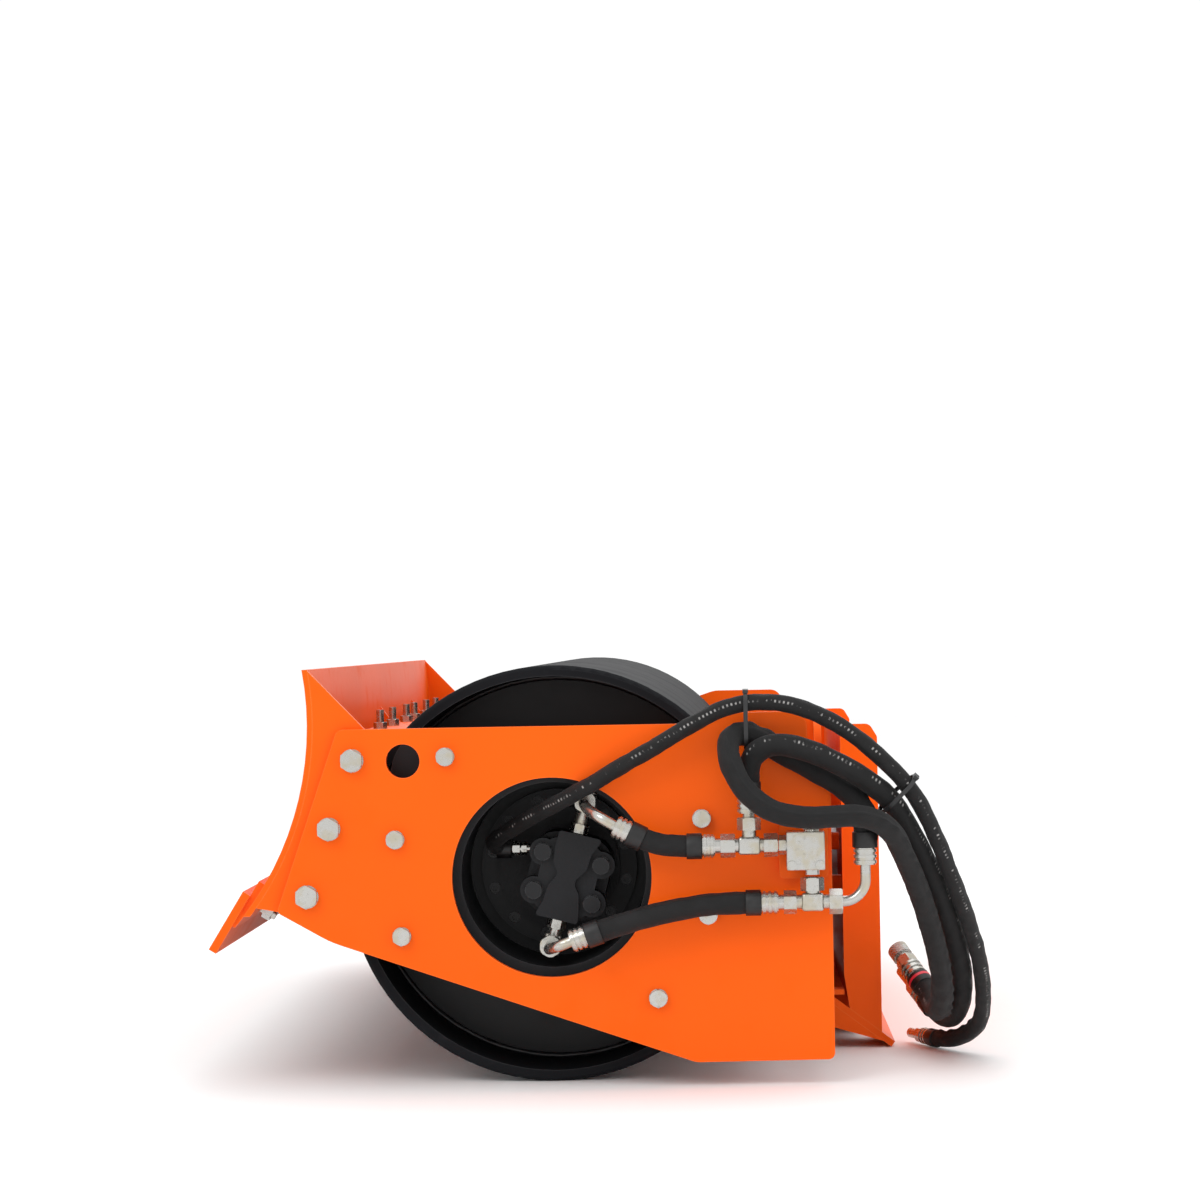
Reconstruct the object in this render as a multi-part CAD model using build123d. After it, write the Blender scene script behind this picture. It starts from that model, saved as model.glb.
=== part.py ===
"""Vibratory smooth-drum roller attachment with a levelling blade, for a skid-steer loader.

Shapes are drawn about the drum's centre, in millimetres: +X to the rear (the loader's side),
-X to the blade, +Y away from the motor side, +Z up. save() then moves each one so that the
origin lies on the ground under the middle of the object.
"""
from build123d import *
import os
from math import cos, radians, sin, sqrt, tan

# ---------------------------------------------------------------- driving dimensions
DRUM_RADIUS = 305.0
DRUM_LENGTH = 1829.0
SHELL_WALL = 16.0
BULKHEAD_DEPTH = 150.0
BULKHEAD_WALL = 12.0

PLATE_FACE = 1004.0
PLATE_WALL = 12.0
HUB_HOLE_RADIUS = 144.0
LIFT_HOLE = (-212.0, 171.0)
LIFT_HOLE_RADIUS = 24.5

ISOLATOR_CIRCLE = 232.0
ISOLATOR_ANGLES = (130.5, 165.5, 200.5, -49.5, -14.5, 20.5)
ISOLATOR_RADIUS = 30.0
ISOLATOR_LENGTH = 50.0
CARRIER_TILT = -14.5
CARRIER_WALL = 12.0

BLADE_RADIUS = 450.0
BLADE_CENTRE = (-800.5, 229.0)
BLADE_WALL = 8.0
BLADE_TOP = 305.0
BLADE_FOOT = -50.0
BLADE_BOLTS = ((-285.0, 173.0), (-320.0, 75.0), (-353.0, -22.0))
EDGE_TOP = (-448.0, -14.0)
EDGE_TIP = (-499.0, -97.0)
EDGE_WALL = 12.0
BACKING_WALL = 10.0
PLOW_BOLT_PITCH = 214.0
PLOW_BOLT_COUNT = 9
RIB_PLACES = (-600.0, 0.0, 600.0)

HITCH_HALF_WIDTH = 570.0
HITCH_FACE = 443.0
HITCH_WALL = 10.0
HITCH_DEPTH = 49.0
HITCH_TOP = 202.0
LIP_START = (418.6, -226.45)
LIP_TIP = (512.0, -297.02)
PIVOT_HEIGHT = -60.0
PIVOT_RADIUS = 35.0
PIVOT_CLEARANCE = 0.06
PIN_SLOT = (70.0, 38.0)
PIN_SLOT_PLACE = 410.0

LINE_FACE = 1049.0
UPPER_LINE = 44.0
LOWER_LINE = -38.0
VALVE_X = 374.0
SHORT_HOSE_RADIUS = 17.0
THICK_HOSE_RADIUS = 16.5
DRAIN_HOSE_RADIUS = 12.5
TUBE_RADIUS = 8.0

SHAFT_RADIUS = 30.0
SPINDLE_RADIUS = 80.0
SPINDLE_BORE = 58.0
RUNNING_CLEARANCE = 0.05

ORIGIN = (-6.5, 30.25, DRUM_RADIUS)

PLATE_INNER = PLATE_FACE - PLATE_WALL
RIM = DRUM_LENGTH / 2
CARRIER_FACE = PLATE_INNER - ISOLATOR_LENGTH
CARRIER_BACK = CARRIER_FACE - CARRIER_WALL
FLANGE_FACE = PLATE_FACE - 258.0
FLANGE_BACK = FLANGE_FACE - 18.0
SPINDLE_END = FLANGE_BACK - 110.0
BULKHEAD_FACE = RIM - BULKHEAD_DEPTH


# ---------------------------------------------------------------- helpers
def save(name, *shapes):
    """Write one sub-part, moved from the drum's centre to the object's own origin."""
    shape = shapes[0] if len(shapes) == 1 else Compound(children=list(solids_of(shapes)))
    export_step(Pos(*ORIGIN) * shape, f"parts/{name}.step")


def solids_of(shapes):
    return [solid for shape in shapes for solid in shape.solids()]


def side_plane(y):
    """A drawing plane whose local x and y are the object's X and Z."""
    return Plane(origin=(0, y, 0), x_dir=(1, 0, 0), z_dir=(0, -1, 0))


def slab(sketch, y_low, y_high):
    """Extrude a sketch drawn in X and Z from one Y to another."""
    return extrude(side_plane(y_high) * sketch, amount=y_high - y_low)


def outline(corners):
    """A face in X and Z from (x, z, corner radius) triples."""
    face = make_face(Polyline(*[(x, z) for x, z, _ in corners], close=True))
    for x, z, radius in corners:
        if radius:
            corner = face.vertices().sort_by_distance((x, z, 0))[0]
            face = fillet(corner, radius)
    return face


def disc(radius, y_low, y_high, x=0.0, z=0.0, bore=0.0):
    """A cylinder or ring along Y."""
    sketch = Pos(x, z) * Circle(radius)
    if bore:
        sketch -= Pos(x, z) * Circle(bore)
    return slab(sketch, y_low, y_high)


def along(start, direction):
    """A plane at a point whose normal is the given direction."""
    return Plane(origin=start, z_dir=direction)


def rod(start, direction, length, radius, bore=0.0):
    """A cylinder or ring from a point along a direction."""
    sketch = Circle(radius) - Circle(bore) if bore else Circle(radius)
    return extrude(along(start, direction) * sketch, amount=length)


def hexagon(start, direction, length, across_flats, bore=0.0):
    """A hexagonal prism with chamfered corners at its far end."""
    sketch = RegularPolygon(across_flats / 2, 6, major_radius=False)
    if bore:
        sketch -= Circle(bore)
    prism = extrude(along(start, direction) * sketch, amount=length)
    crown = rod(start, direction, length, across_flats * 0.567)
    edge = crown.edges().filter_by(GeomType.CIRCLE).sort_by(Axis(start, direction))[-1]
    return prism & chamfer(edge, across_flats * 0.048)


def bolt(start, direction, size, head_height, across_flats, shank, washer=True):
    """A hexagon-head bolt: its head and washer stand at start, its shank runs the other way."""
    back = Vector(*direction) * -1
    origin = Vector(*start)
    washer_height = 3.0 if washer else 0.0
    body = hexagon(origin + Vector(*direction) * washer_height, direction, head_height, across_flats)
    if washer:
        body += rod(origin, direction, washer_height, across_flats * 0.56)
    return body + rod(origin, back, shank, size / 2)


def tube_path(points):
    """Straight runs joined by tangent arcs, each as large as its two runs allow."""
    vectors = [Vector(*p) for p in points]
    radii = []
    for before, corner, after in zip(vectors, vectors[1:], vectors[2:]):
        turn = (corner - before).get_angle(after - corner)
        run = min((corner - before).length, (after - corner).length)
        radii.append(0.45 * run / tan(radians(turn / 2)))
    return FilletPolyline(*points, radius=radii), radii


def hose(name, points, radius):
    """A plain round hose along hand-chosen points; prints its radii and volume check."""
    path, radii = tube_path(points)
    start = along(points[0], Vector(*points[1]) - Vector(*points[0]))
    solid = sweep(start * Circle(radius), path=path)
    ratio = solid.volume / (3.14159265 * radius**2 * path.length)
    print(name, "length", round(path.length), "volume ratio", round(ratio, 4),
          "least radius", round(min(radii)), "radii", [round(r) for r in radii])
    return solid


def polar(radius, angle):
    return radius * cos(radians(angle)), radius * sin(radians(angle))


def both_sides(shape):
    return shape, mirror(shape, about=Plane.XZ)


def mirrored(shapes):
    """A list of near-side shapes followed by their far-side copies."""
    return shapes + [mirror(shape, about=Plane.XZ) for shape in shapes]


def blade_x(z, radius=BLADE_RADIUS):
    """X of the moldboard's cylinder at a height."""
    return BLADE_CENTRE[0] + sqrt(radius**2 - (z - BLADE_CENTRE[1]) ** 2)


# ---------------------------------------------------------------- frame
ISOLATORS = [polar(ISOLATOR_CIRCLE, angle) for angle in ISOLATOR_ANGLES]

PLATE_OUTLINE = [
    (-306, 218, 12), (190, 218, 60), (235, 233, 60), (371, 233, 22), (371, 190, 60),
    (404, 120, 60), (404, -269, 10), (204, -270, 30), (-320, -88, 150), (-397, -44, 8),
]


def side_plate():
    face = outline(PLATE_OUTLINE)
    face -= Circle(HUB_HOLE_RADIUS)
    face -= Pos(*LIFT_HOLE) * Circle(LIFT_HOLE_RADIUS)
    for x, z in ISOLATORS:
        face -= Pos(x, z) * Circle(8.5)
    for x, z in BLADE_BOLTS:
        face -= Pos(x, z) * Circle(10.5)
    return slab(face, -PLATE_FACE, -PLATE_INNER)


BEAM_FRONT, BEAM_BACK, BEAM_HALF_HEIGHT, BEAM_WALL = 330.0, 400.0, 110.0, 8.0
HITCH_PLATE_BACK = BEAM_BACK + 12.0
HOUSING_RADIUS = 60.0
HOUSING_FRONT, HOUSING_BACK = 328.0, 428.0


def rear_beam():
    middle = (BEAM_FRONT + BEAM_BACK) / 2
    width = BEAM_BACK - BEAM_FRONT
    outside = Pos(middle, 0) * RectangleRounded(width, 2 * BEAM_HALF_HEIGHT, 12)
    inside = Pos(middle, 0) * RectangleRounded(
        width - 2 * BEAM_WALL, 2 * (BEAM_HALF_HEIGHT - BEAM_WALL), 5)
    beam = slab(outside - inside, -PLATE_INNER, PLATE_INNER)
    return beam - rod((BEAM_FRONT - 5, 0, PIVOT_HEIGHT), (1, 0, 0), width + 10, HOUSING_RADIUS)


def hitch_backing_plate():
    sketch = Pos(0, -5) * RectangleRounded(640, 420, 40)
    plate = extrude(Plane(origin=(BEAM_BACK, 0, 0), x_dir=(0, 1, 0), z_dir=(1, 0, 0)) * sketch,
                    amount=HITCH_PLATE_BACK - BEAM_BACK)
    return plate - rod((BEAM_BACK - 5, 0, PIVOT_HEIGHT), (1, 0, 0), 30, HOUSING_RADIUS)


def tower_gusset(y):
    face = outline([(BEAM_FRONT + 14, BEAM_HALF_HEIGHT, 0), (BEAM_FRONT + 20, 222, 22),
                    (BEAM_BACK, 222, 24), (BEAM_BACK, BEAM_HALF_HEIGHT, 0)])
    return slab(face, y - 6, y + 6)


def pivot_housing():
    return rod((HOUSING_FRONT, 0, PIVOT_HEIGHT), (1, 0, 0), HOUSING_BACK - HOUSING_FRONT,
               HOUSING_RADIUS, PIVOT_RADIUS + PIVOT_CLEARANCE)


STOP_PLACE = 250.0
STOP_HALF_HEIGHT = 14.0


def stop_lug(y):
    """A block on the backing plate that the hitch's stop blocks reach at the end of its swing."""
    block = Box(HITCH_FACE - HITCH_PLATE_BACK - 3, 30, 2 * STOP_HALF_HEIGHT,
                align=(Align.MIN, Align.CENTER, Align.CENTER))
    return Pos(HITCH_PLATE_BACK, y, 0) * fillet(block.edges().filter_by(Axis.X), 4)


# ---------------------------------------------------------------- blade
def moldboard():
    centre = Pos(*BLADE_CENTRE)
    ring = centre * Circle(BLADE_RADIUS + BLADE_WALL) - centre * Circle(BLADE_RADIUS)
    band = Pos(-400, (BLADE_TOP + BLADE_FOOT) / 2) * Rectangle(240, BLADE_TOP - BLADE_FOOT)
    plate = slab(ring & band, -PLATE_INNER, PLATE_INNER)
    return drill_blade(plate, 8.4)


def blade_end_plate():
    back = BLADE_RADIUS + BLADE_WALL
    top = (blade_x(303, back), 303)
    foot = (blade_x(-38, back), -38)
    middle = (blade_x(130, back), 130)
    edge = ThreePointArc(foot, middle, top)
    rest = Polyline(top, (-262, 212), (-246, 160), (-290, -20), (-335, -58), (-397, -44), foot)
    face = make_face([edge, rest])
    for x, z in BLADE_BOLTS:
        face -= Pos(x, z) * Circle(10.5)
    return slab(face, -PLATE_INNER, -PLATE_INNER + 10)


EDGE_RUN = Vector(EDGE_TIP[0] - EDGE_TOP[0], 0, EDGE_TIP[1] - EDGE_TOP[1]).normalized()
EDGE_NORMAL = Vector(-EDGE_RUN.Z, 0, EDGE_RUN.X)
EDGE_HALF_WIDTH = 985.0


def edge_point(run, depth):
    """A point in X and Z, a distance down the cutting edge and behind its front face."""
    point = Vector(EDGE_TOP[0], 0, EDGE_TOP[1]) + EDGE_RUN * run + EDGE_NORMAL * depth
    return point.X, point.Z


def bar_face(run_low, run_high, depth_low, depth_high):
    corners = [edge_point(run_low, depth_low), edge_point(run_high, depth_low),
               edge_point(run_high, depth_high), edge_point(run_low, depth_high)]
    return make_face(Polyline(*corners, close=True))


PLOW_BOLT_RUN = 22.0
PLOW_BOLT_YS = [PLOW_BOLT_PITCH * (i - (PLOW_BOLT_COUNT - 1) / 2) for i in range(PLOW_BOLT_COUNT)]


def plow_bolt_start(y):
    x, z = edge_point(PLOW_BOLT_RUN, 0)
    return Vector(x, y, z)


def drill_blade(plate, radius):
    for y in PLOW_BOLT_YS:
        start = plow_bolt_start(y) - EDGE_NORMAL * 5
        plate -= rod(start, EDGE_NORMAL, 60, radius)
    return plate


def cutting_edge():
    length = sqrt((EDGE_TIP[0] - EDGE_TOP[0]) ** 2 + (EDGE_TIP[1] - EDGE_TOP[1]) ** 2)
    plate = slab(bar_face(0, length, 0, EDGE_WALL), -EDGE_HALF_WIDTH, EDGE_HALF_WIDTH)
    for y in PLOW_BOLT_YS:
        plate -= rod(plow_bolt_start(y) - EDGE_NORMAL, EDGE_NORMAL, 8.2, 14.4)
    return drill_blade(plate, 8.4)


def backing_bar():
    face = bar_face(-24, 52, EDGE_WALL, EDGE_WALL + BACKING_WALL + 4)
    face &= Pos(*BLADE_CENTRE) * Circle(BLADE_RADIUS)
    return drill_blade(slab(face, -EDGE_HALF_WIDTH + 5, EDGE_HALF_WIDTH - 5), 8.4)


def plow_bolt(y):
    start = plow_bolt_start(y) + EDGE_NORMAL * 0.4
    return rod(start, EDGE_NORMAL, 6.6, 14) + rod(start, EDGE_NORMAL, 50, 8)


def plow_nut(y):
    return hexagon(plow_bolt_start(y) + EDGE_NORMAL * 31.5, EDGE_NORMAL, 13, 24, 8.05)


def blade_rib(y):
    back = BLADE_RADIUS + BLADE_WALL
    edge = ThreePointArc((blade_x(60, back), 60), (blade_x(150, back), 150), (blade_x(232, back), 232))
    rest = Polyline((blade_x(232, back), 232), (-318, 198), (-318, 150), (blade_x(60, back), 60))
    return slab(make_face([edge, rest]), y - 4, y + 4)


SCRAPER_HALF_WIDTH = 900.0
SCRAPER_TOP = 198.0
SCRAPER_BOLT_YS = [-525.0, -320.0, -75.0, 75.0, 320.0, 525.0]
SCRAPER_BOLT_X = -291.0


def drill_scraper(shape):
    for y in SCRAPER_BOLT_YS:
        shape -= rod((SCRAPER_BOLT_X, y, 150), (0, 0, 1), 100, 6.5)
    return shape


def scraper_angle():
    face = outline([(-318, 142, 0), (-312, 142, 0), (-312, SCRAPER_TOP - 6, 6),
                    (-262, SCRAPER_TOP - 6, 0), (-262, SCRAPER_TOP, 0), (-318, SCRAPER_TOP, 8)])
    return drill_scraper(slab(face, -SCRAPER_HALF_WIDTH, SCRAPER_HALF_WIDTH))


def scraper_blade():
    reach = -sqrt((DRUM_RADIUS + 4) ** 2 - (SCRAPER_TOP + 4) ** 2)
    face = outline([(-312, SCRAPER_TOP, 0), (-312, SCRAPER_TOP + 8, 0),
                    (reach - 4, SCRAPER_TOP + 8, 0), (reach, SCRAPER_TOP, 0)])
    return drill_scraper(slab(face, -SCRAPER_HALF_WIDTH, SCRAPER_HALF_WIDTH))


def scraper_bolt(y):
    """A bolt pushed up from below, with a nut and spare thread on top."""
    low = (SCRAPER_BOLT_X, y, SCRAPER_TOP - 6)
    top = (SCRAPER_BOLT_X, y, SCRAPER_TOP + 8)
    bolt_body = bolt(low, (0, 0, -1), 12, 7.5, 19, 44, washer=False)
    return bolt_body + hexagon(top, (0, 0, 1), 10.5, 19)


# ---------------------------------------------------------------- isolators and carriers
def isolator_set():
    shapes = []
    for x, z in ISOLATORS:
        body = disc(ISOLATOR_RADIUS, -PLATE_INNER, -CARRIER_FACE, x, z)
        body -= disc(8.1, -PLATE_INNER, -PLATE_INNER + 20, x, z)
        body -= disc(8.1, -CARRIER_FACE - 20, -CARRIER_FACE, x, z)
        waist = Pos(x, -(PLATE_INNER + CARRIER_FACE) / 2, z) * Rot(90, 0, 0) * Torus(41, 14)
        shapes.append(body - waist)
    return shapes


def outer_isolator_bolts():
    return [bolt((x, -PLATE_FACE, z), (0, -1, 0), 16, 10, 24, PLATE_WALL + 18) for x, z in ISOLATORS]


def inner_isolator_bolts():
    return [bolt((x, -CARRIER_BACK, z), (0, 1, 0), 16, 10, 24, CARRIER_WALL + 18)
            for x, z in ISOLATORS]


TUBE_INNER, TUBE_OUTER = 135.0, 142.0
DISC_RADIUS = 117.0
DISC_SCREWS = 12
DISC_SCREW_CIRCLE = 103.0
DISC_FIRST_ANGLE = 17.8


def carrier_plate():
    face = Rot(0, 0, CARRIER_TILT) * RectangleRounded(534, 330, 60)
    face -= Circle(TUBE_INNER)
    for x, z in ISOLATORS:
        face -= Pos(x, z) * Circle(8.5)
    return slab(face, -CARRIER_FACE, -CARRIER_BACK)


def disc_screw_places():
    return [polar(DISC_SCREW_CIRCLE, DISC_FIRST_ANGLE + 360 / DISC_SCREWS * i)
            for i in range(DISC_SCREWS)]


def carrier_cup():
    """The cup that reaches into the drum: a tube, a flange and the spindle the drum turns on."""
    tube = disc(TUBE_OUTER, -CARRIER_BACK, -FLANGE_FACE, bore=TUBE_INNER)
    flange = disc(TUBE_OUTER, -FLANGE_FACE, -FLANGE_BACK, bore=SPINDLE_BORE)
    for x, z in disc_screw_places():
        flange -= disc(5.1, -FLANGE_FACE, -FLANGE_BACK, x, z)
    return tube + flange + disc(SPINDLE_RADIUS, -FLANGE_BACK, -SPINDLE_END, bore=SPINDLE_BORE)


def motor_disc():
    plate = disc(DISC_RADIUS, -FLANGE_FACE - 16, -FLANGE_FACE, bore=40)
    for x, z in disc_screw_places():
        plate -= disc(5.4, -FLANGE_FACE - 16, -FLANGE_FACE, x, z)
        plate -= disc(8.4, -FLANGE_FACE - 16, -FLANGE_FACE - 5, x, z)
    return plate


def disc_screws(y_face, depth):
    shapes = []
    for x, z in disc_screw_places():
        head = disc(8, -y_face, -y_face + 9, x, z)
        head -= slab(Pos(x, z) * RegularPolygon(4, 6, major_radius=False), -y_face, -y_face + 5)
        shapes.append(head + disc(5, -y_face + 9, -y_face + depth, x, z))
    return shapes


def far_cover():
    plate = disc(DISC_RADIUS, -FLANGE_FACE - 16, -FLANGE_FACE)
    for x, z in disc_screw_places():
        plate -= disc(5.4, -FLANGE_FACE - 16, -FLANGE_FACE, x, z)
        plate -= disc(8.4, -FLANGE_FACE - 16, -FLANGE_FACE - 5, x, z)
    return mirror(plate, about=Plane.XZ)


# ---------------------------------------------------------------- drum
def drum_shell():
    shell = disc(DRUM_RADIUS, -RIM, RIM, bore=DRUM_RADIUS - SHELL_WALL)
    rims = shell.edges().filter_by(GeomType.CIRCLE)
    return fillet([rim for rim in rims if rim.radius > DRUM_RADIUS - 1], 6)


HUB_OUTER, HUB_WALL = 160.0, 12.0
BEARING_OUTER = 110.0
BEARING_FACE = FLANGE_BACK - 24.0
BEARING_WIDTH = 42.0


def bulkhead():
    return disc(DRUM_RADIUS - SHELL_WALL, -BULKHEAD_FACE, -BULKHEAD_FACE + BULKHEAD_WALL,
                bore=HUB_OUTER)


def drum_hub():
    """A stepped ring that carries the bulkhead on the drum bearing."""
    front = -BULKHEAD_FACE - 6
    back = -BEARING_FACE + BEARING_WIDTH + 10
    barrel = disc(HUB_OUTER, front, back, bore=HUB_OUTER - HUB_WALL)
    web = disc(HUB_OUTER - HUB_WALL, -BEARING_FACE, back, bore=BEARING_OUTER)
    return barrel + web


def drum_bearing():
    return disc(BEARING_OUTER, -BEARING_FACE, -BEARING_FACE + BEARING_WIDTH,
                bore=SPINDLE_RADIUS + RUNNING_CLEARANCE)


# ---------------------------------------------------------------- eccentric shaft
SHAFT_START = -(FLANGE_FACE + 4)
SHAFT_END = SPINDLE_END + 30
ECCENTRIC_BEARING_WIDTH = 40.0


def eccentric_shaft():
    shaft = disc(SHAFT_RADIUS, SHAFT_START + 40, SHAFT_END)
    return shaft + disc(22, SHAFT_START + 4, SHAFT_START + 40)


def eccentric_bearing():
    return disc(SPINDLE_BORE, -SPINDLE_END - 60, -SPINDLE_END - 60 + ECCENTRIC_BEARING_WIDTH,
                bore=SHAFT_RADIUS + RUNNING_CLEARANCE)


def eccentric_weight(y):
    """A half-round weight clamped on the shaft."""
    half = Circle(95) & Pos(0, -95) * Rectangle(190, 190)
    boss = Circle(48)
    return slab((half + boss) - Circle(SHAFT_RADIUS), y - 45, y + 45)


def shaft_coupling():
    """A sleeve that joins the motor's shaft to the eccentric shaft."""
    low, high = SHAFT_START - 24, SHAFT_START + 30
    sleeve = disc(36, low, high)
    sleeve -= disc(12, low, -FLANGE_FACE)
    sleeve -= disc(22, SHAFT_START + 4, high)
    return sleeve


def motor_shaft():
    return disc(12, -MOTOR_FRONT - 10, SHAFT_START)


# ---------------------------------------------------------------- motor
MOTOR_X, MOTOR_Z = 18.0, -8.0
MOTOR_TILT = -14.5
MOTOR_FRONT = PLATE_FACE - 226.0
MOTOR_BODY_FACE = PLATE_FACE - 138.0
MOTOR_COVER_FACE = PLATE_FACE - 104.0
MOTOR_BLOCK_FACE = PLATE_FACE - 92.0
MOTOR_BOLTS = ((-44.0, 29.0), (-44.0, -29.0), (44.0, 29.0), (44.0, -29.0))


def motor_frame():
    """The motor's own axes in X and Z: the ports lie at the ends of its local y."""
    return Pos(MOTOR_X, MOTOR_Z) * Rot(0, 0, MOTOR_TILT)


def local(x, z):
    """A place on the motor as X and Z about the drum's centre."""
    point = (motor_frame() * Pos(x, z)).position
    return point.X, point.Y


MOTOR_BOLT_PLACES = [local(x, z) for x, z in MOTOR_BOLTS]
DRAIN_PORT = (-36.0, -850.0, 33.0)


def drive_clearance(shape):
    return shape - disc(40, -MOTOR_FRONT - 14, -FLANGE_FACE + 2)


def motor_body():
    face = motor_frame() * RectangleRounded(118, 122, 34)
    body = slab(face, -MOTOR_BODY_FACE, -MOTOR_FRONT)
    for x, z in MOTOR_BOLT_PLACES:
        body -= disc(7, -MOTOR_BODY_FACE, -MOTOR_BODY_FACE + 22, x, z)
    body -= rod(DRAIN_PORT, (-1, 0, 0), 60, 6)
    return drive_clearance(body + disc(92, -MOTOR_FRONT, -FLANGE_FACE - 16))


def motor_cover():
    face = motor_frame() * RectangleRounded(86, 110, 20)
    for x, z in MOTOR_BOLTS:
        face += motor_frame() * Pos(x, z) * (Circle(20) - Circle(7))
    cover = slab(face, -MOTOR_COVER_FACE, -MOTOR_BODY_FACE)
    for x, z in MOTOR_BOLT_PLACES:
        cover -= disc(7, -MOTOR_COVER_FACE, -MOTOR_BODY_FACE, x, z)
    return cover


def port_block():
    """The raised slab across the cover, waisted at both sides, with a port at each end."""
    face = motor_frame() * outline([
        (-27, 66, 4), (38, 66, 4), (27, 41, 8), (25, 18, 6), (10, -4, 12), (22, -20, 6),
        (27, -42, 8), (30, -63, 4), (-34, -63, 4), (-27, -40, 8), (-25, -18, 6), (-14, 4, 12),
        (-25, 18, 6), (-28, 42, 8)])
    return slab(face, -MOTOR_BLOCK_FACE, -MOTOR_COVER_FACE)


def motor_bolts():
    return [bolt((x, -MOTOR_COVER_FACE, z), (0, -1, 0), 14, 12, 24, 54)
            for x, z in MOTOR_BOLT_PLACES]


# ---------------------------------------------------------------- hydraulic fittings
PORT_Y = -(PLATE_FACE - 116.0)
UPPER_OUTLET = local(0, 116)
LOWER_OUTLET = local(0, -101)


def unit(a, b):
    return (Vector(*b) - Vector(*a)).normalized()


def port_elbow(port, outlet):
    """A block elbow: an adapter from the port, a turned block and a swivel nut facing out."""
    start = Vector(port[0], PORT_Y, port[1])
    corner = Vector(outlet[0], PORT_Y, outlet[1])
    axis = (corner - start).normalized()
    adapter = hexagon(start, axis, 14, 25) + rod(start, axis, (corner - start).length, 10.5)
    seat = Plane(origin=corner - axis * 14, x_dir=(0, 1, 0), z_dir=axis)
    block = extrude(seat * RectangleRounded(32, 28, 6), amount=28)
    neck = rod(corner, (0, -1, 0), 46, 9.5)
    return adapter + block + neck + hexagon(corner - Vector(0, 24, 0), (0, -1, 0), 24, 30)


def bent_tube(points, radius=TUBE_RADIUS):
    path, _ = tube_path(points)
    start = along(points[0], Vector(*points[1]) - Vector(*points[0]))
    return sweep(start * Circle(radius), path=path)


def ferrule(start, direction, length, radius=16.5):
    """A crimped hose end with raised bands."""
    direction = Vector(*direction).normalized()
    start = Vector(*start)
    body = rod(start, direction, length, radius - 2)
    for i in range(3):
        body += rod(start + direction * (2 + i * (length - 8) / 2), direction, 4, radius)
    return body


SUPPLY_BENDS = [(UPPER_OUTLET[0], PORT_Y - 48.2, UPPER_OUTLET[1]),
                (UPPER_OUTLET[0], PORT_Y - 92, UPPER_OUTLET[1]), (54.0, PORT_Y - 132, 98.0),
                (72.0, -LINE_FACE, 87.5)]
SUPPLY_HOSE = [(113.0, -LINE_FACE, 65.0), (135.0, -LINE_FACE, 54.0), (160.0, -LINE_FACE, 47.0),
               (190.0, -LINE_FACE, 44.0), (218.0, -LINE_FACE, 44.0)]
SUPPLY_AXIS = unit(SUPPLY_HOSE[0], SUPPLY_HOSE[1])

RETURN_BENDS = [(LOWER_OUTLET[0], PORT_Y - 48.2, LOWER_OUTLET[1]),
                (LOWER_OUTLET[0], PORT_Y - 92, LOWER_OUTLET[1]), (-3.0, PORT_Y - 132, -101.5),
                (12.0, -LINE_FACE, -95.0)]
RETURN_HOSE = [(49.0, -LINE_FACE, -81.6), (90.0, -LINE_FACE, -68.0), (135.0, -LINE_FACE, -56.0),
               (180.0, -LINE_FACE, -46.0), (230.0, -LINE_FACE, -38.5), (278.0, -LINE_FACE, -38.0),
               (301.0, -LINE_FACE, -38.0)]
RETURN_AXIS = unit(RETURN_HOSE[0], RETURN_HOSE[1])


def swept_end(bends, hose_start, axis):
    """A bent steel tube from a swivel nut to the crimp on a short hose."""
    crimp_start = Vector(*hose_start) - axis * 22
    tube = bent_tube(bends + [tuple(crimp_start)])
    return tube + ferrule(crimp_start, axis, 22)


def straight_end(x_low, x_high, z):
    """The crimp and swivel of a short hose where it meets the valve line."""
    start = (x_low, -LINE_FACE, z)
    crimp = ferrule(start, (1, 0, 0), x_high - x_low)
    return crimp + rod((x_high, -LINE_FACE, z), (1, 0, 0), 8, 11)


def tee(x, z, half_run, branch, up):
    """A forged tee with its run along X and its branch up or down."""
    run = rod((x - half_run, -LINE_FACE, z), (1, 0, 0), 2 * half_run, 10.5)
    side = rod((x, -LINE_FACE, z), (0, 0, up), branch, 10.5)
    core = fillet((Pos(x, -LINE_FACE, z) * Box(32, 26, 26)).edges(), 5)
    return run + side + core


def line_nuts():
    """The swivel nuts along both lines."""
    y = -LINE_FACE
    nuts = [
        hexagon((244, y, UPPER_LINE), (1, 0, 0), 21, 30, 10.6),
        hexagon((306, y, UPPER_LINE), (1, 0, 0), 20, 30, 10.6),
        hexagon((285, y, UPPER_LINE + 22), (0, 0, 1), 18, 30, 10.6),
        hexagon((333, y, LOWER_LINE), (1, 0, 0), 18, 30, 10.6),
        hexagon((398, y, LOWER_LINE), (1, 0, 0), 19, 32, 10.6),
        hexagon((VALVE_X, y, LOWER_LINE + 16), (0, 0, 1), 19, 30, 10.6),
    ]
    return nuts


BLOCK_HALF = 27.0
BLOCK_X = 365.0
BLOCK_Z = 36.0
BLOCK_BACK = -LINE_FACE + BLOCK_HALF


def valve_block():
    block = Pos(BLOCK_X, -LINE_FACE, BLOCK_Z) * Box(2 * BLOCK_HALF, 2 * BLOCK_HALF, 2 * BLOCK_HALF)
    block = chamfer(block.edges(), 1.2)
    for x in (BLOCK_X - 20, BLOCK_X + 20):
        block -= rod((x, -LINE_FACE - BLOCK_HALF, BLOCK_Z - 20), (0, 1, 0), 2 * BLOCK_HALF, 4.3)
    return block


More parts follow.
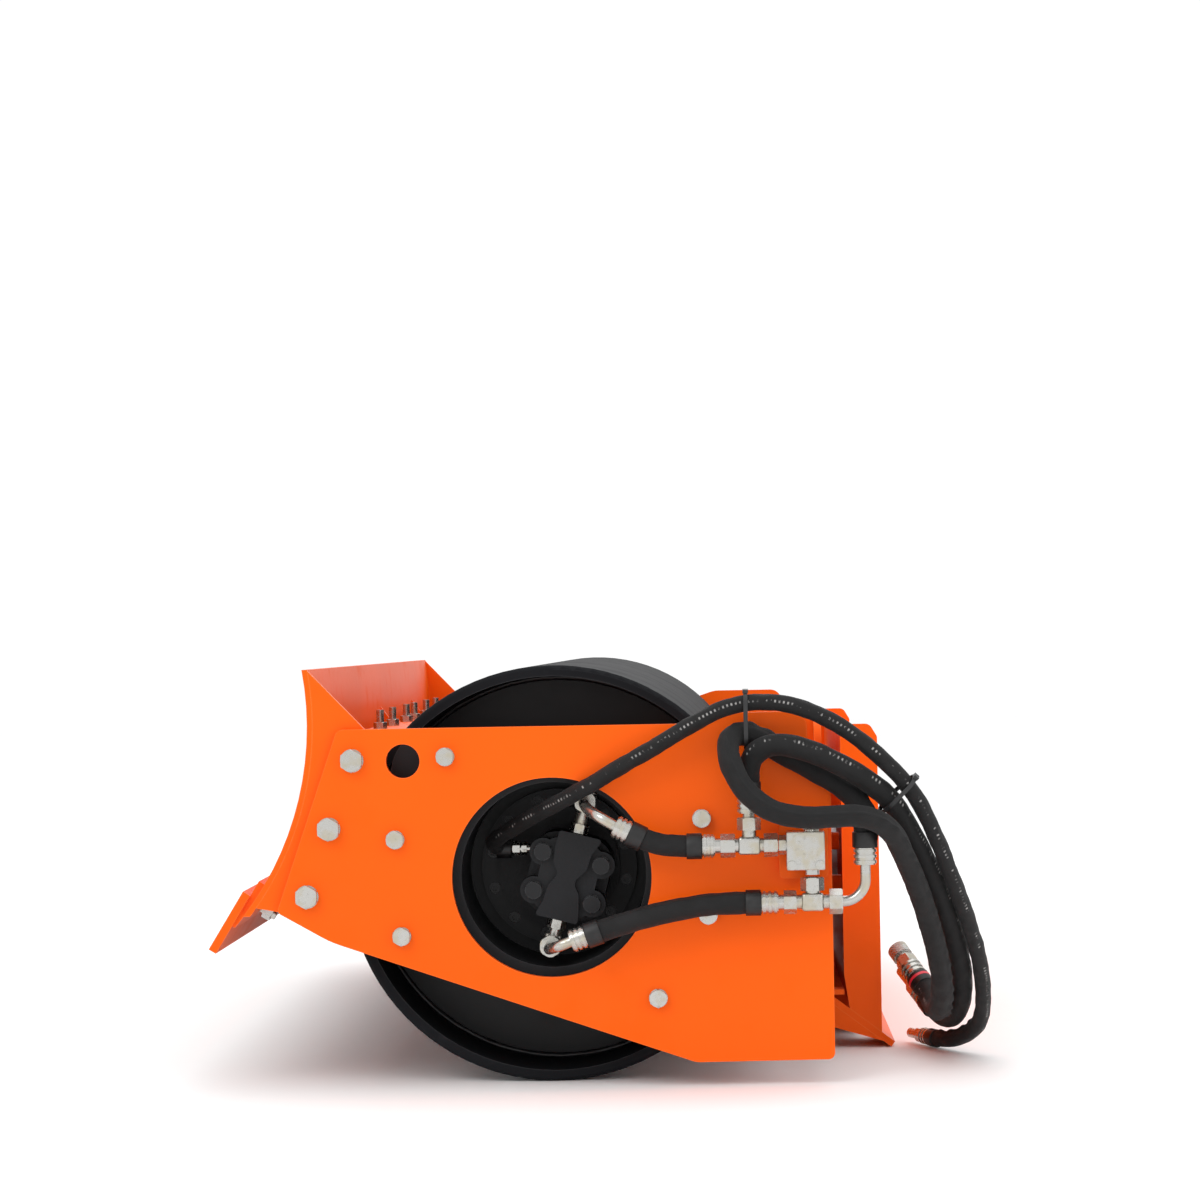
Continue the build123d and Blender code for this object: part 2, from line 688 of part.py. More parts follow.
def valve_adapters():
    """Screwed adapters that join the block to the two lines."""
    inlet = rod((331, -LINE_FACE, UPPER_LINE), (1, 0, 0), BLOCK_X - BLOCK_HALF - 331, 10.4)
    inlet += hexagon((327, -LINE_FACE, UPPER_LINE), (1, 0, 0), 11, 25)
    outlet = rod((VALVE_X, -LINE_FACE, BLOCK_Z - BLOCK_HALF), (0, 0, -1), 8, 10.4)
    return [inlet, outlet]


def relief_cartridge():
    base = (VALVE_X, -LINE_FACE, BLOCK_Z + BLOCK_HALF)
    body = rod(base, (0, 0, 1), 19, 11)
    for i in range(18):
        x, y = polar(11.4, 20 * i)
        body += rod((VALVE_X + x, -LINE_FACE + y, base[2] + 3), (0, 0, 1), 14, 1.1)
    return body + hexagon((VALVE_X, -LINE_FACE, base[2] + 19), (0, 0, 1), 6, 13)


def valve_screws():
    shapes = []
    for x in (BLOCK_X - 20, BLOCK_X + 20):
        start = (x, -LINE_FACE - BLOCK_HALF, BLOCK_Z - 20)
        shapes.append(rod(start, (0, -1, 0), 4, 6.5) + rod(start, (0, 1, 0), 2 * BLOCK_HALF, 4))
    return shapes


def valve_bracket():
    """A bent bracket welded to the side plate behind the valve block."""
    face = outline([(328, -6, 8), (398, -6, 8), (398, 80, 18), (328, 80, 18)])
    plate = slab(face, BLOCK_BACK, BLOCK_BACK + 8)
    legs = slab(Pos(332, 30) * Rectangle(8, 56), BLOCK_BACK + 8, -PLATE_FACE)
    legs += slab(Pos(394, 30) * Rectangle(8, 56), BLOCK_BACK + 8, -PLATE_FACE)
    return plate + legs


def return_elbow():
    """The swept steel elbow that turns the lower line up to the return hose."""
    y = -LINE_FACE
    points = [(398.1, y, LOWER_LINE), (431, y, LOWER_LINE), (450, y, LOWER_LINE + 19), (450, y, 16)]
    tube = bent_tube(points, 7.5)
    return tube + ferrule((450, y, 14), (0, 0, 1), 24)


def pressure_end():
    """The straight swivel end on the upper tee's branch."""
    base = (285, -LINE_FACE, UPPER_LINE + 40)
    return rod(base, (0, 0, 1), 6, 9) + ferrule((285, -LINE_FACE, UPPER_LINE + 46), (0, 0, 1), 22)


def drain_fitting():
    """The small case-drain adapter on the motor's left side, ending where the drain hose starts."""
    start = Vector(*DRAIN_PORT)
    out = Vector(-1, 0, 0)
    fitting = rod(start, out, 30, 6)
    return fitting + hexagon(start + out * 8, out, 8, 17) + hexagon(start + out * 18, out, 11, 19)


# ---------------------------------------------------------------- long hoses
DRAIN_ROUTE = [
    (-66, -850, 33), (-78, -850, 33), (-91, -858, 38), (-93, -875, 45), (-82, -890, 53),
    (-62, -908, 66), (-36, -930, 82), (-6, -958, 98), (24, -996, 114), (60, -1026, 134),
    (104, -1036, 160), (152, -1038, 186), (205, -1040, 218), (262, -1044, 246), (325, -1048, 250),
    (385, -1052, 232), (440, -1052, 198), (486, -1052, 156), (521, -1045, 116), (547, -1016, 66),
    (572, -978, 7), (600, -915, -64), (626, -845, -140), (637, -777, -200), (637, -712, -254),
    (614, -664, -281), (586, -624, -290), (568, -580, -290),
]
PRESSURE_ROUTE = [
    (285, -1049, 112), (285, -1049, 132), (286, -1054, 154), (294, -1062, 176), (318, -1068, 190),
    (356, -1070, 184), (402, -1070, 166), (446, -1058, 140), (488, -1036, 108), (521, -998, 52),
    (549, -953, -4), (576, -894, -70), (599, -824, -140), (607, -754, -194), (605, -698, -232),
    (595, -650, -254), (578, -612, -250), (562, -584, -230),
]
RETURN_ROUTE = [
    (450, -1049, 38), (450, -1049, 62), (449, -1044, 86), (438, -1034, 108), (412, -1028, 130),
    (376, -1026, 151), (338, -1026, 172), (306, -1028, 192), (277, -1037, 205), (258, -1058, 198),
    (256, -1084, 174), (268, -1100, 142), (290, -1106, 112), (324, -1108, 92), (366, -1108, 84),
    (410, -1106, 87), (452, -1096, 86), (488, -1068, 64), (507, -1024, 24), (528, -980, -22),
    (550, -918, -88), (569, -850, -160), (573, -784, -212), (570, -722, -236), (566, -672, -230),
    (560, -640, -212), (546, -616, -192),
]


COUPLER_HEX = 16.0
CRIMP = 26.0


def hose_end(route):
    """The end of a hose and the direction it points in."""
    end = Vector(*route[-1])
    return end, (end - Vector(*route[-2])).normalized()


def coupler(route, radius, length):
    """A crimp and a flat-face coupling body in line with the end of a hose."""
    end, axis = hose_end(route)
    body = ferrule(end, axis, CRIMP, radius + 1)
    body += hexagon(end + axis * CRIMP, axis, COUPLER_HEX, 2 * radius - 3)
    return body + rod(end + axis * (CRIMP + COUPLER_HEX), axis, length, radius - 4)


SLEEVE_TRAVEL = 6.0


def coupler_sleeve(route, radius, length):
    """The locking sleeve of the female coupling, at its forward stop."""
    end, axis = hose_end(route)
    start = end + axis * (CRIMP + COUPLER_HEX + SLEEVE_TRAVEL + 1)
    return rod(start, axis, length - SLEEVE_TRAVEL - 3, radius, radius - 4 + RUNNING_CLEARANCE)


TIE_WIDTH = 6.0
TIE_WALL = 1.8


def tie_loop(distance, radius_a, radius_b):
    """The face inside a band drawn tight round two hoses."""
    return make_hull((Circle(radius_a) + Pos(distance, 0) * Circle(radius_b)).edges())


def hose_tie(centre_a, centre_b, radius_a, radius_b, normal):
    """A flat nylon band round two hoses, with its locking head."""
    span = Vector(*centre_b) - Vector(*centre_a)
    plane = Plane(origin=centre_a, x_dir=span, z_dir=normal)
    outer = tie_loop(span.length, radius_a + TIE_WALL, radius_b + TIE_WALL)
    band = outer - tie_loop(span.length, radius_a, radius_b)
    head = Pos(-radius_a - TIE_WALL - 1.5, 0, TIE_WIDTH / 2) * Box(5, 9, 8)
    return extrude(plane * band, amount=TIE_WIDTH) + plane * head


def hose_ties():
    upper = hose_tie((280, -1045.2, 246.8), (280, -1036.7, 202.6), 14.6, 22.0, (1, 0, 0))
    lower = hose_tie((509.9, -1046.8, 128.3), (486, -1034.6, 105.9), 15, 20.5, (0.72, 0.2, -0.66))
    return upper, lower


def coupler_tie():
    """A thin band on the hose beside its crimp, with a head and a short free tail."""
    end, axis = hose_end(RETURN_ROUTE)
    plane = Plane(origin=end - axis * 12, x_dir=(1, -0.6, 0.2), z_dir=axis)
    inner = THICK_HOSE_RADIUS + 0.5
    band = extrude(plane * (Circle(inner + 1.4) - Circle(inner)), amount=5)
    head = Pos(0, inner + 3.4, 2.5) * Box(8, 5, 7)
    tail = Pos(18, inner + 4.4, 2.5) * Box(30, 1.4, 4)
    return band + plane * head + plane * tail


# ---------------------------------------------------------------- quick attach
HITCH_PLATE_TOP = 184.0
HITCH_PLATE_FOOT = -244.8


def hitch_plate():
    height = HITCH_PLATE_TOP - HITCH_PLATE_FOOT
    sketch = Pos(0, (HITCH_PLATE_TOP + HITCH_PLATE_FOOT) / 2) * Rectangle(2 * HITCH_HALF_WIDTH - 20, height)
    plane = Plane(origin=(HITCH_FACE, 0, 0), x_dir=(0, 1, 0), z_dir=(1, 0, 0))
    return extrude(plane * sketch, amount=HITCH_WALL)


def lip_vectors():
    start = Vector(LIP_START[0], 0, LIP_START[1])
    tip = Vector(LIP_TIP[0], 0, LIP_TIP[1])
    run = (tip - start).normalized()
    return start, tip, run, Vector(run.Z, 0, -run.X)


def bottom_lip():
    start, tip, run, down = lip_vectors()
    corners = [start, tip, tip + down * HITCH_WALL, start + down * HITCH_WALL]
    face = make_face(Polyline(*[(c.X, c.Z) for c in corners], close=True))
    lip = slab(face, -HITCH_HALF_WIDTH, HITCH_HALF_WIDTH)
    middle = start + run * 78
    for y in (-PIN_SLOT_PLACE, PIN_SLOT_PLACE):
        plane = Plane(origin=(middle.X, y, middle.Z), x_dir=(0, 1, 0), z_dir=tuple(down))
        slot = RectangleRounded(PIN_SLOT[0], PIN_SLOT[1], 5)
        lip -= extrude(plane * slot, amount=30, both=True)
    return lip


def top_lip():
    face = outline([(447, 203, 0), (496, 160, 0), (489.4, 152.5, 0), (446, 190.6, 0)])
    return slab(face, -HITCH_HALF_WIDTH + 10, HITCH_HALF_WIDTH - 10)


def hitch_end_plate():
    back = HITCH_FACE + HITCH_DEPTH
    start, tip, run, down = lip_vectors()
    foot = start + run * ((back - start.X) / run.X)
    front = start + run * ((HITCH_FACE - 1 - start.X) / run.X)
    face = outline([(HITCH_FACE - 1, front.Z, 0), (434, -190, 0), (434, 190, 14), (446, HITCH_TOP, 12),
                    (480, HITCH_TOP, 12), (back, 182, 8), (back, foot.Z, 0)])
    return slab(face, -HITCH_HALF_WIDTH, -HITCH_HALF_WIDTH + 10)


def lip_gusset():
    start, tip, run, down = lip_vectors()
    under = start + down * HITCH_WALL
    foot = tip + down * HITCH_WALL
    face = outline([(under.X, under.Z, 0), (400, -232, 8), (400, -268, 8),
                    (foot.X - 12, foot.Z + 9, 0)])
    return slab(face, -HITCH_HALF_WIDTH, -HITCH_HALF_WIDTH + 10)


def hitch_tab():
    """A short shelf on the front of the hitch's end plate, above the lip."""
    return slab(outline([(418, -222, 0), (434, -222, 0), (434, -214, 0), (418, -214, 0)]),
                -HITCH_HALF_WIDTH, -HITCH_HALF_WIDTH + 40)


STOP_SWING = 8.0


def stop_blocks():
    """Blocks above and below each lug, touching it at the ends of the swing."""
    reach = STOP_HALF_HEIGHT + STOP_PLACE * sin(radians(STOP_SWING)) + 8
    length = HITCH_FACE - HITCH_PLATE_BACK - 6
    shapes = []
    for y in (-STOP_PLACE, STOP_PLACE):
        for side in (-1, 1):
            block = Box(length, 30, 24, align=(Align.MAX, Align.CENTER, Align.CENTER))
            shapes.append(Pos(HITCH_FACE, y, side * (reach + 12) + 0) * block)
    return shapes


def pivot_pin():
    pin = rod((HOUSING_FRONT - 2, 0, PIVOT_HEIGHT), (1, 0, 0), HITCH_FACE - HOUSING_FRONT + 2,
              PIVOT_RADIUS)
    return pin + rod((HITCH_FACE - 9, 0, PIVOT_HEIGHT), (1, 0, 0), 9, 75)


def thrust_washer():
    return rod((HOUSING_BACK, 0, PIVOT_HEIGHT), (1, 0, 0), 5.9, 60, PIVOT_RADIUS + PIVOT_CLEARANCE)


def pivot_keeper():
    """The plate and bolt that keep the pin in its housing."""
    front = HOUSING_FRONT - 2
    plate = rod((front, 0, PIVOT_HEIGHT), (-1, 0, 0), 8, 50)
    return plate + hexagon((front - 8, 0, PIVOT_HEIGHT), (-1, 0, 0), 7, 24)


# ---------------------------------------------------------------- build
def build_frame():
    near, far = both_sides(side_plate())
    save("side_plate_motor", near)
    save("side_plate_far", far)
    save("rear_beam", rear_beam())
    lugs = [stop_lug(y) for y in (-STOP_PLACE, STOP_PLACE)]
    gussets = [tower_gusset(y) for y in (-280, 0, 280)]
    save("hitch_tower", hitch_backing_plate(), *lugs, *gussets)
    save("pivot_housing", pivot_housing())
    save("thrust_washer", thrust_washer())


def build_blade():
    save("moldboard", moldboard())
    save("blade_end_plates", *both_sides(blade_end_plate()))
    save("cutting_edge", cutting_edge())
    save("backing_bar", backing_bar())
    save("plow_bolts", *[plow_bolt(y) for y in PLOW_BOLT_YS])
    bolts = [bolt((x, -PLATE_FACE, z), (0, -1, 0), 20, 12.5, 30, PLATE_WALL + 36)
             for x, z in BLADE_BOLTS]
    save("blade_bolts", *mirrored(bolts))
    nuts = [hexagon((x, -PLATE_INNER + 10, z), (0, 1, 0), 16, 30, 10.05) for x, z in BLADE_BOLTS]
    save("blade_nuts", *mirrored(nuts), *[plow_nut(y) for y in PLOW_BOLT_YS])
    save("scraper_mount", scraper_angle(), *[blade_rib(y) for y in RIB_PLACES])
    save("scraper_blade", scraper_blade())
    save("scraper_bolts", *[scraper_bolt(y) for y in SCRAPER_BOLT_YS])


def build_carriers():
    save("isolators", *mirrored(isolator_set()))
    save("isolator_bolts", *mirrored(outer_isolator_bolts() + inner_isolator_bolts()))
    save("carrier_plates", *both_sides(carrier_plate()))
    save("carrier_cups", *both_sides(carrier_cup()))
    save("motor_disc", motor_disc())
    save("far_cover", far_cover())
    save("disc_screws", *mirrored(disc_screws(FLANGE_FACE + 14, 30)))
    save("eccentric_bearings", *both_sides(eccentric_bearing()))


def build_drum():
    save("drum_shell", drum_shell())
    save("drum_bulkheads", *both_sides(bulkhead()))
    save("drum_hubs", *both_sides(drum_hub()))
    save("drum_bearings", *both_sides(drum_bearing()))


def build_exciter():
    save("eccentric_shaft", eccentric_shaft())
    save("eccentric_weights", eccentric_weight(-300), eccentric_weight(300))
    save("shaft_coupling", shaft_coupling())
    save("motor_shaft", motor_shaft())


def build_motor():
    save("motor_body", motor_body())
    save("motor_cover", motor_cover(), port_block())
    save("motor_bolts", *motor_bolts())
    elbows = [port_elbow(local(0, 67), UPPER_OUTLET), port_elbow(local(0, -64), LOWER_OUTLET)]
    save("motor_fittings", *elbows, drain_fitting())
    save("motor_hose_ends", swept_end(SUPPLY_BENDS, SUPPLY_HOSE[0], SUPPLY_AXIS),
         straight_end(218, 236, UPPER_LINE), swept_end(RETURN_BENDS, RETURN_HOSE[0], RETURN_AXIS),
         straight_end(301, 325, LOWER_LINE))
    save("motor_supply_hose", hose("motor_supply_hose", SUPPLY_HOSE, SHORT_HOSE_RADIUS))
    save("motor_return_hose", hose("motor_return_hose", RETURN_HOSE, SHORT_HOSE_RADIUS))


def build_valve_line():
    save("line_tees", tee(285, UPPER_LINE, 24, 24, 1), tee(VALVE_X, LOWER_LINE, 24, 20, 1))
    save("line_nuts", *line_nuts(), *valve_adapters())
    save("valve_block", valve_block())
    save("relief_cartridge", relief_cartridge())
    save("valve_screws", *valve_screws())
    save("valve_bracket", valve_bracket())
    save("bundle_hose_ends", return_elbow(), pressure_end())


def build_hoses():
    save("drain_hose", hose("drain_hose", DRAIN_ROUTE, DRAIN_HOSE_RADIUS))
    save("pressure_hose", hose("pressure_hose", PRESSURE_ROUTE, THICK_HOSE_RADIUS))
    save("return_hose", hose("return_hose", RETURN_ROUTE, THICK_HOSE_RADIUS))
    save("hose_couplers", coupler(DRAIN_ROUTE, 12, 30), coupler(PRESSURE_ROUTE, 16, 36),
         coupler(RETURN_ROUTE, 16, 28))
    save("coupler_sleeve", coupler_sleeve(RETURN_ROUTE, 16, 28))
    save("hose_ties", *hose_ties())
    save("coupler_tie", coupler_tie())


def build_hitch():
    save("hitch_plate", hitch_plate())
    save("top_lip", top_lip())
    save("bottom_lip", bottom_lip())
    save("hitch_brackets", *both_sides(hitch_end_plate()), *both_sides(lip_gusset()),
         *both_sides(hitch_tab()), *stop_blocks())
    save("pivot_pin", pivot_pin())
    save("pivot_keeper", pivot_keeper())


os.makedirs("parts", exist_ok=True)
build_frame()
build_blade()
build_carriers()
build_drum()
build_exciter()
build_motor()
build_valve_line()
build_hoses()
build_hitch()
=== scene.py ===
import math

import bpy
from bpy.props import FloatProperty, FloatVectorProperty, IntProperty, PointerProperty
from mathutils import Matrix, Vector, noise


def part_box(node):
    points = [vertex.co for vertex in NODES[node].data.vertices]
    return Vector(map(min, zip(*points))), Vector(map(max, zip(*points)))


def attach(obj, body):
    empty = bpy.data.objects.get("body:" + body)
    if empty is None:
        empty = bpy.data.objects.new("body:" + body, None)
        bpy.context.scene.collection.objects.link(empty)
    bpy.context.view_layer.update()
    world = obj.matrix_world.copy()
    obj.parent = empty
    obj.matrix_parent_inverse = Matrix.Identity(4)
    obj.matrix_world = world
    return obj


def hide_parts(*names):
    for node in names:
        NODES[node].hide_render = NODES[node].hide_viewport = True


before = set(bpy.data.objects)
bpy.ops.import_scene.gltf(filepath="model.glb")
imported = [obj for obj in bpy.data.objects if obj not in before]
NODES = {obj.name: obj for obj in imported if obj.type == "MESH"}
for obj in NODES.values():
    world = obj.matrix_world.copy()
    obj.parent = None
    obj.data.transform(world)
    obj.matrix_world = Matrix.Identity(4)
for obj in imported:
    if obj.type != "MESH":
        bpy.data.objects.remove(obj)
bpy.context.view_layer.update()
DRUM_LOW, DRUM_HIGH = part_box("drum_shell")
AXLE = (Vector(DRUM_LOW) + Vector(DRUM_HIGH)) / 2

bl_info = {
    "name": "Vibratory Roller Attachment",
    "version": (1, 0, 0),
    "blender": (4, 5, 0),
    "location": "View3D > Sidebar > Roller",
    "description": "Hoses, cuffs, drum welds, paint and stage for a smooth-drum roller attachment",
    "category": "Object",
}

# The sleeves' fabric, in metres; the seam's half width is an angle and the ring step is in radii
YARN_PITCH = 0.0021
STITCH_PITCH = 0.0062
SEAM_HALF_WIDTH = 0.24
SHORT_SEAM = 0.003
RING_STEP = 0.22

# The cuffs and the drum's weld beads, in metres
CUFF_LENGTH = 0.022
CUFF_OFFSET = 0.0118
CUFF_OVER_SLEEVE = 0.0016
CUFF_EDGE = 0.0011
BEAD_RADIUS = 0.0046
BEAD_INSET = 0.0032
BEAD_ROUGHNESS = 0.0007

# Where the camera stands beside the drum's middle, and how its view is shifted
CAMERA_ASIDE = 0.2471
CAMERA_ABOVE = 0.3443
CAMERA_SHIFT = (-0.09925, 0.02958)

# Each lamp's name, place, size in metres and power in watts
LAMPS = (
    ("key", (-2.2, -4.2, 3.6), 2.4, 60.0),
    ("fill", (3.4, -4.0, 2.2), 2.6, 20.0),
    ("top", (0.3, 0.4, 4.2), 3.4, 30.0),
    ("back", (0.5, 4.6, 3.0), 2.6, 30.0),
)
LAMP_TARGET = Vector((0.0, 0.0, 0.3))
SKY_STRENGTH = 1.03
FLOOR_SIZE = 40.0


# ---------------------------------------------------------------- settings
class PaintSettings(bpy.types.PropertyGroup):
    orange: FloatVectorProperty(
        name="Frame colour", description="Colour of the baked paint on the frame",
        default=(0.92, 0.110, 0.001), size=3, subtype="COLOR", min=0.0, max=1.0)
    # Lighter orange for the band along edges: a painted edge highlight, also standing for thinner paint
    # there.
    orange_edge_highlight: FloatVectorProperty(
        name="Edge colour", description="Colour of the thinner paint along cut edges",
        default=(1.0, 0.22, 0.05), size=3, subtype="COLOR", min=0.0, max=1.0)
    black: FloatVectorProperty(
        name="Drum colour", description="Colour of the satin black paint",
        default=(0.0105, 0.011, 0.0125), size=3, subtype="COLOR", min=0.0, max=1.0)
    black_edge: FloatVectorProperty(
        name="Drum edge colour", description="Colour where black paint is worn along an edge",
        default=(0.075, 0.076, 0.08), size=3, subtype="COLOR", min=0.0, max=1.0)
    motor: FloatVectorProperty(
        name="Motor colour", description="Colour of the painted motor casting",
        default=(0.0075, 0.0080, 0.0100), size=3, subtype="COLOR", min=0.0, max=1.0)
    zinc: FloatVectorProperty(
        name="Plating colour", description="Colour of bright zinc plating",
        default=(0.50, 0.495, 0.47), size=3, subtype="COLOR", min=0.0, max=1.0)
    zinc_tint: FloatVectorProperty(
        name="Plating tint", description="Yellow tint that shows in patches of the plating",
        default=(0.47, 0.42, 0.31), size=3, subtype="COLOR", min=0.0, max=1.0)
    edge_width: FloatProperty(
        name="Edge width", description="Width of the lighter band along an edge",
        default=0.0022, min=0.0, unit="LENGTH")


class HoseSettings(bpy.types.PropertyGroup):
    sleeve: FloatVectorProperty(
        name="Sleeve colour", description="Colour of the woven nylon sleeve",
        default=(0.0042, 0.0040, 0.0043), size=3, subtype="COLOR", min=0.0, max=1.0)
    thread: FloatVectorProperty(
        name="Thread colour", description="Colour of the worn seam thread",
        default=(0.34, 0.33, 0.32), size=3, subtype="COLOR", min=0.0, max=1.0)
    thick_radius: FloatProperty(
        name="Line radius", description="Radius of the two thick line sleeves",
        default=0.0165, min=0.004, unit="LENGTH")
    drain_radius: FloatProperty(
        name="Drain radius", description="Radius of the case-drain sleeve",
        default=0.0125, min=0.004, unit="LENGTH")
    short_radius: FloatProperty(
        name="Motor line radius", description="Radius of the two short motor line sleeves",
        default=0.017, min=0.004, unit="LENGTH")
    seam: FloatProperty(
        name="Seam height", description="Height of the sewn seam above the sleeve",
        default=0.0045, min=0.0, unit="LENGTH")
    around: IntProperty(
        name="Points round a sleeve", description="Points in one ring of a sleeve",
        default=32, min=12, max=64)


class StageSettings(bpy.types.PropertyGroup):
    floor: FloatVectorProperty(
        name="Floor colour", description="Colour of the plain pale floor",
        default=(0.98, 0.98, 0.98), size=3, subtype="COLOR", min=0.0, max=1.0)
    lens: FloatProperty(
        name="Lens", description="Focal length of the camera", default=102.15, min=20.0)
    distance: FloatProperty(
        name="Camera distance", description="Distance from the camera to the middle of the drum",
        default=5.91, min=1.0, unit="LENGTH")
    roll: FloatProperty(
        name="Camera roll", description="Roll of the camera about its line of sight",
        default=math.radians(1.0), subtype="ANGLE", unit="ROTATION")


# ---------------------------------------------------------------- material building
class Value:
    """A socket or a number that Python's operators turn into Math nodes."""

    def __init__(self, shader, socket):
        self.shader, self.socket = shader, socket

    def _math(self, operation, *values, clamp=False):
        made = self.shader.node("ShaderNodeMath", {"operation": operation, "use_clamp": clamp},
                                dict(enumerate(values)))
        return Value(self.shader, made.outputs[0])

    def __add__(self, other):
        return self._math("ADD", self, other)

    def __radd__(self, other):
        return self._math("ADD", other, self)

    def __sub__(self, other):
        return self._math("SUBTRACT", self, other)

    def __rsub__(self, other):
        return self._math("SUBTRACT", other, self)

    def __mul__(self, other):
        return self._math("MULTIPLY", self, other)

    def __rmul__(self, other):
        return self._math("MULTIPLY", other, self)

    def clamp(self):
        return self._math("ADD", self, 0.0, clamp=True)

    def sine(self):
        return self._math("SINE", self)

    def step(self, low, high):
        """Rises smoothly from 0 at low to 1 at high."""
        made = self.shader.node(
            "ShaderNodeMapRange", {"interpolation_type": "SMOOTHSTEP"},
            {"Value": self, "From Min": low, "From Max": high, "To Min": 0.0, "To Max": 1.0})
        return Value(self.shader, made.outputs["Result"])


class Shader:
    """One material, its output and its surface shader."""

    def __init__(self, name, **constants):
        self.material = bpy.data.materials.new(name)
        self.material.use_nodes = True
        self.tree = self.material.node_tree
        self.tree.nodes.clear()
        self.surface = self.node("ShaderNodeBsdfPrincipled", {}, constants)
        output = self.node("ShaderNodeOutputMaterial", {}, {})
        self.tree.links.new(self.surface.outputs[0], output.inputs["Surface"])

    def node(self, kind, settings, sockets):
        made = self.tree.nodes.new(kind)
        for name, value in settings.items():
            setattr(made, name, value)
        for name, value in sockets.items():
            self.feed(made.inputs[name], value)
        return made

    def feed(self, socket, value):
        source = value.socket if isinstance(value, Value) else value
        if isinstance(source, bpy.types.NodeSocket):
            self.tree.links.new(source, socket)
        else:
            socket.default_value = source

    def place(self, scale=(1.0, 1.0, 1.0), uv=False):
        """Object coordinates, or the piece's own UV map, stretched by a scale."""
        if uv:
            coords = self.node("ShaderNodeUVMap", {"uv_map": "length"}, {}).outputs[0]
        else:
            coords = self.node("ShaderNodeTexCoord", {}, {}).outputs["Object"]
        return self.node("ShaderNodeMapping", {}, {"Vector": coords, "Scale": scale}).outputs[0]

    def noise(self, place, scale, detail=3.0, roughness=0.55):
        made = self.node("ShaderNodeTexNoise", {},
                         {"Vector": place, "Scale": scale, "Detail": detail, "Roughness": roughness})
        return Value(self, made.outputs[0])

    def cells(self, place, scale):
        made = self.node("ShaderNodeTexVoronoi", {"feature": "F1"}, {"Vector": place, "Scale": scale})
        return Value(self, made.outputs["Distance"])

    def parts(self, place):
        made = self.node("ShaderNodeSeparateXYZ", {}, {"Vector": place})
        return [Value(self, made.outputs[i]) for i in range(3)]

    def mix(self, mask, low, high):
        made = self.node("ShaderNodeMix", {"data_type": "RGBA"}, {})
        self.feed(made.inputs[0], mask)
        self.feed(made.inputs[6], self.colour(low))
        self.feed(made.inputs[7], self.colour(high))
        return made.outputs[2]

    @staticmethod
    def colour(value):
        if isinstance(value, bpy.types.NodeSocket):
            return value
        return (*value, 1.0)

    def edges(self, width):
        """1 along edges narrower than the width, 0 on flat faces."""
        soft = self.node("ShaderNodeBevel", {"samples": 4}, {"Radius": width}).outputs[0]
        plain = self.node("ShaderNodeNewGeometry", {}, {}).outputs["Normal"]
        dot = self.node("ShaderNodeVectorMath", {"operation": "DOT_PRODUCT"}, {0: soft, 1: plain})
        return (1 - Value(self, dot.outputs["Value"])).step(0.012, 0.16)

    def bump(self, height, depth, strength=1.0, under=None):
        sockets = {"Height": height, "Distance": depth, "Strength": strength}
        if under is not None:
            sockets["Normal"] = under
        return self.node("ShaderNodeBump", {}, sockets).outputs[0]

    def finish(self, **varying):
        for name, value in varying.items():
            self.feed(self.surface.inputs[name.replace("_", " ")], value)
        return self.material


def scaled(colour, factor):
    return tuple(min(1.0, part * factor) for part in colour)


def orange_paint(name, settings, painted_shade=1.0):
    """Baked semi-gloss paint: faint orange peel, handling marks, and a lighter band on edges that is a
    painted edge highlight as well as thinner paint; painted_shade darkens the whole paint as painted
    shade.
    """
    s = Shader(name, **{"IOR": 1.5, "Specular IOR Level": 0.12, "Coat Roughness": 0.12,
                        "Coat IOR": 1.45})
    place = s.place()
    broad = s.noise(place, 2.4, 2.0)
    smudge = s.noise(place, 14.0, 4.0).step(0.52, 0.78)
    fine = s.noise(place, 95.0, 3.0)
    # painted_shade scales every colour of this paint down, giving a darker copy of the orange as
    # painted shade.
    colour = s.mix(broad.step(0.3, 0.7), scaled(settings.orange, 0.965 * painted_shade),
                   scaled(settings.orange, 1.03 * painted_shade))
    colour = s.mix(smudge * 0.13, colour, scaled(settings.orange, 0.74 * painted_shade))
    # Painted edge highlight: the edges get a lighter orange, also standing for thinner paint on them.
    colour = s.mix((s.edges(settings.edge_width) * (0.30 + fine * 0.5)).clamp(), colour,
                   settings.orange_edge_highlight)
    peel = s.noise(place, 420.0, 2.0)
    normal = s.bump(peel, 0.00012, 0.35)
    normal = s.bump(s.noise(place, 9.0, 2.0), 0.0012, 0.16, normal)
    return s.finish(Base_Color=colour, Roughness=0.40 + smudge * 0.12 + fine * 0.08,
                    Coat_Weight=0.05 - smudge * 0.03, Normal=normal)


def black_paint(name, settings, roughness=0.40, ring=0.0, shine=0.5):
    """Satin black paint with rubbed edges, dust and, on the drum, rolling marks."""
    s = Shader(name, **{"IOR": 1.36, "Specular IOR Level": shine})
    place = s.place()
    dust = s.noise(place, 7.0, 5.0).step(0.45, 0.8)
    fine = s.noise(place, 60.0, 3.0)
    colour = s.mix(dust * 0.35, settings.black, scaled(settings.black, 2.1))
    colour = s.mix((s.edges(settings.edge_width) * (0.28 + fine * 0.6)).clamp(), colour,
                   settings.black_edge)
    height = s.noise(place, 240.0, 2.0)
    rough = roughness + dust * 0.12 - fine * 0.06
    if ring:
        marks = s.noise(s.place((4.0, 90.0, 4.0)), 3.0, 4.0, 0.7)
        rubbed = marks.step(0.58, 0.75)
        colour = s.mix(rubbed * ring, colour, scaled(settings.black, 3.4))
        height = height + marks * 1.5
        rough = rough - rubbed * 0.08
    return s.finish(Base_Color=colour, Roughness=rough.clamp(), Normal=s.bump(height, 0.0001, 0.4))


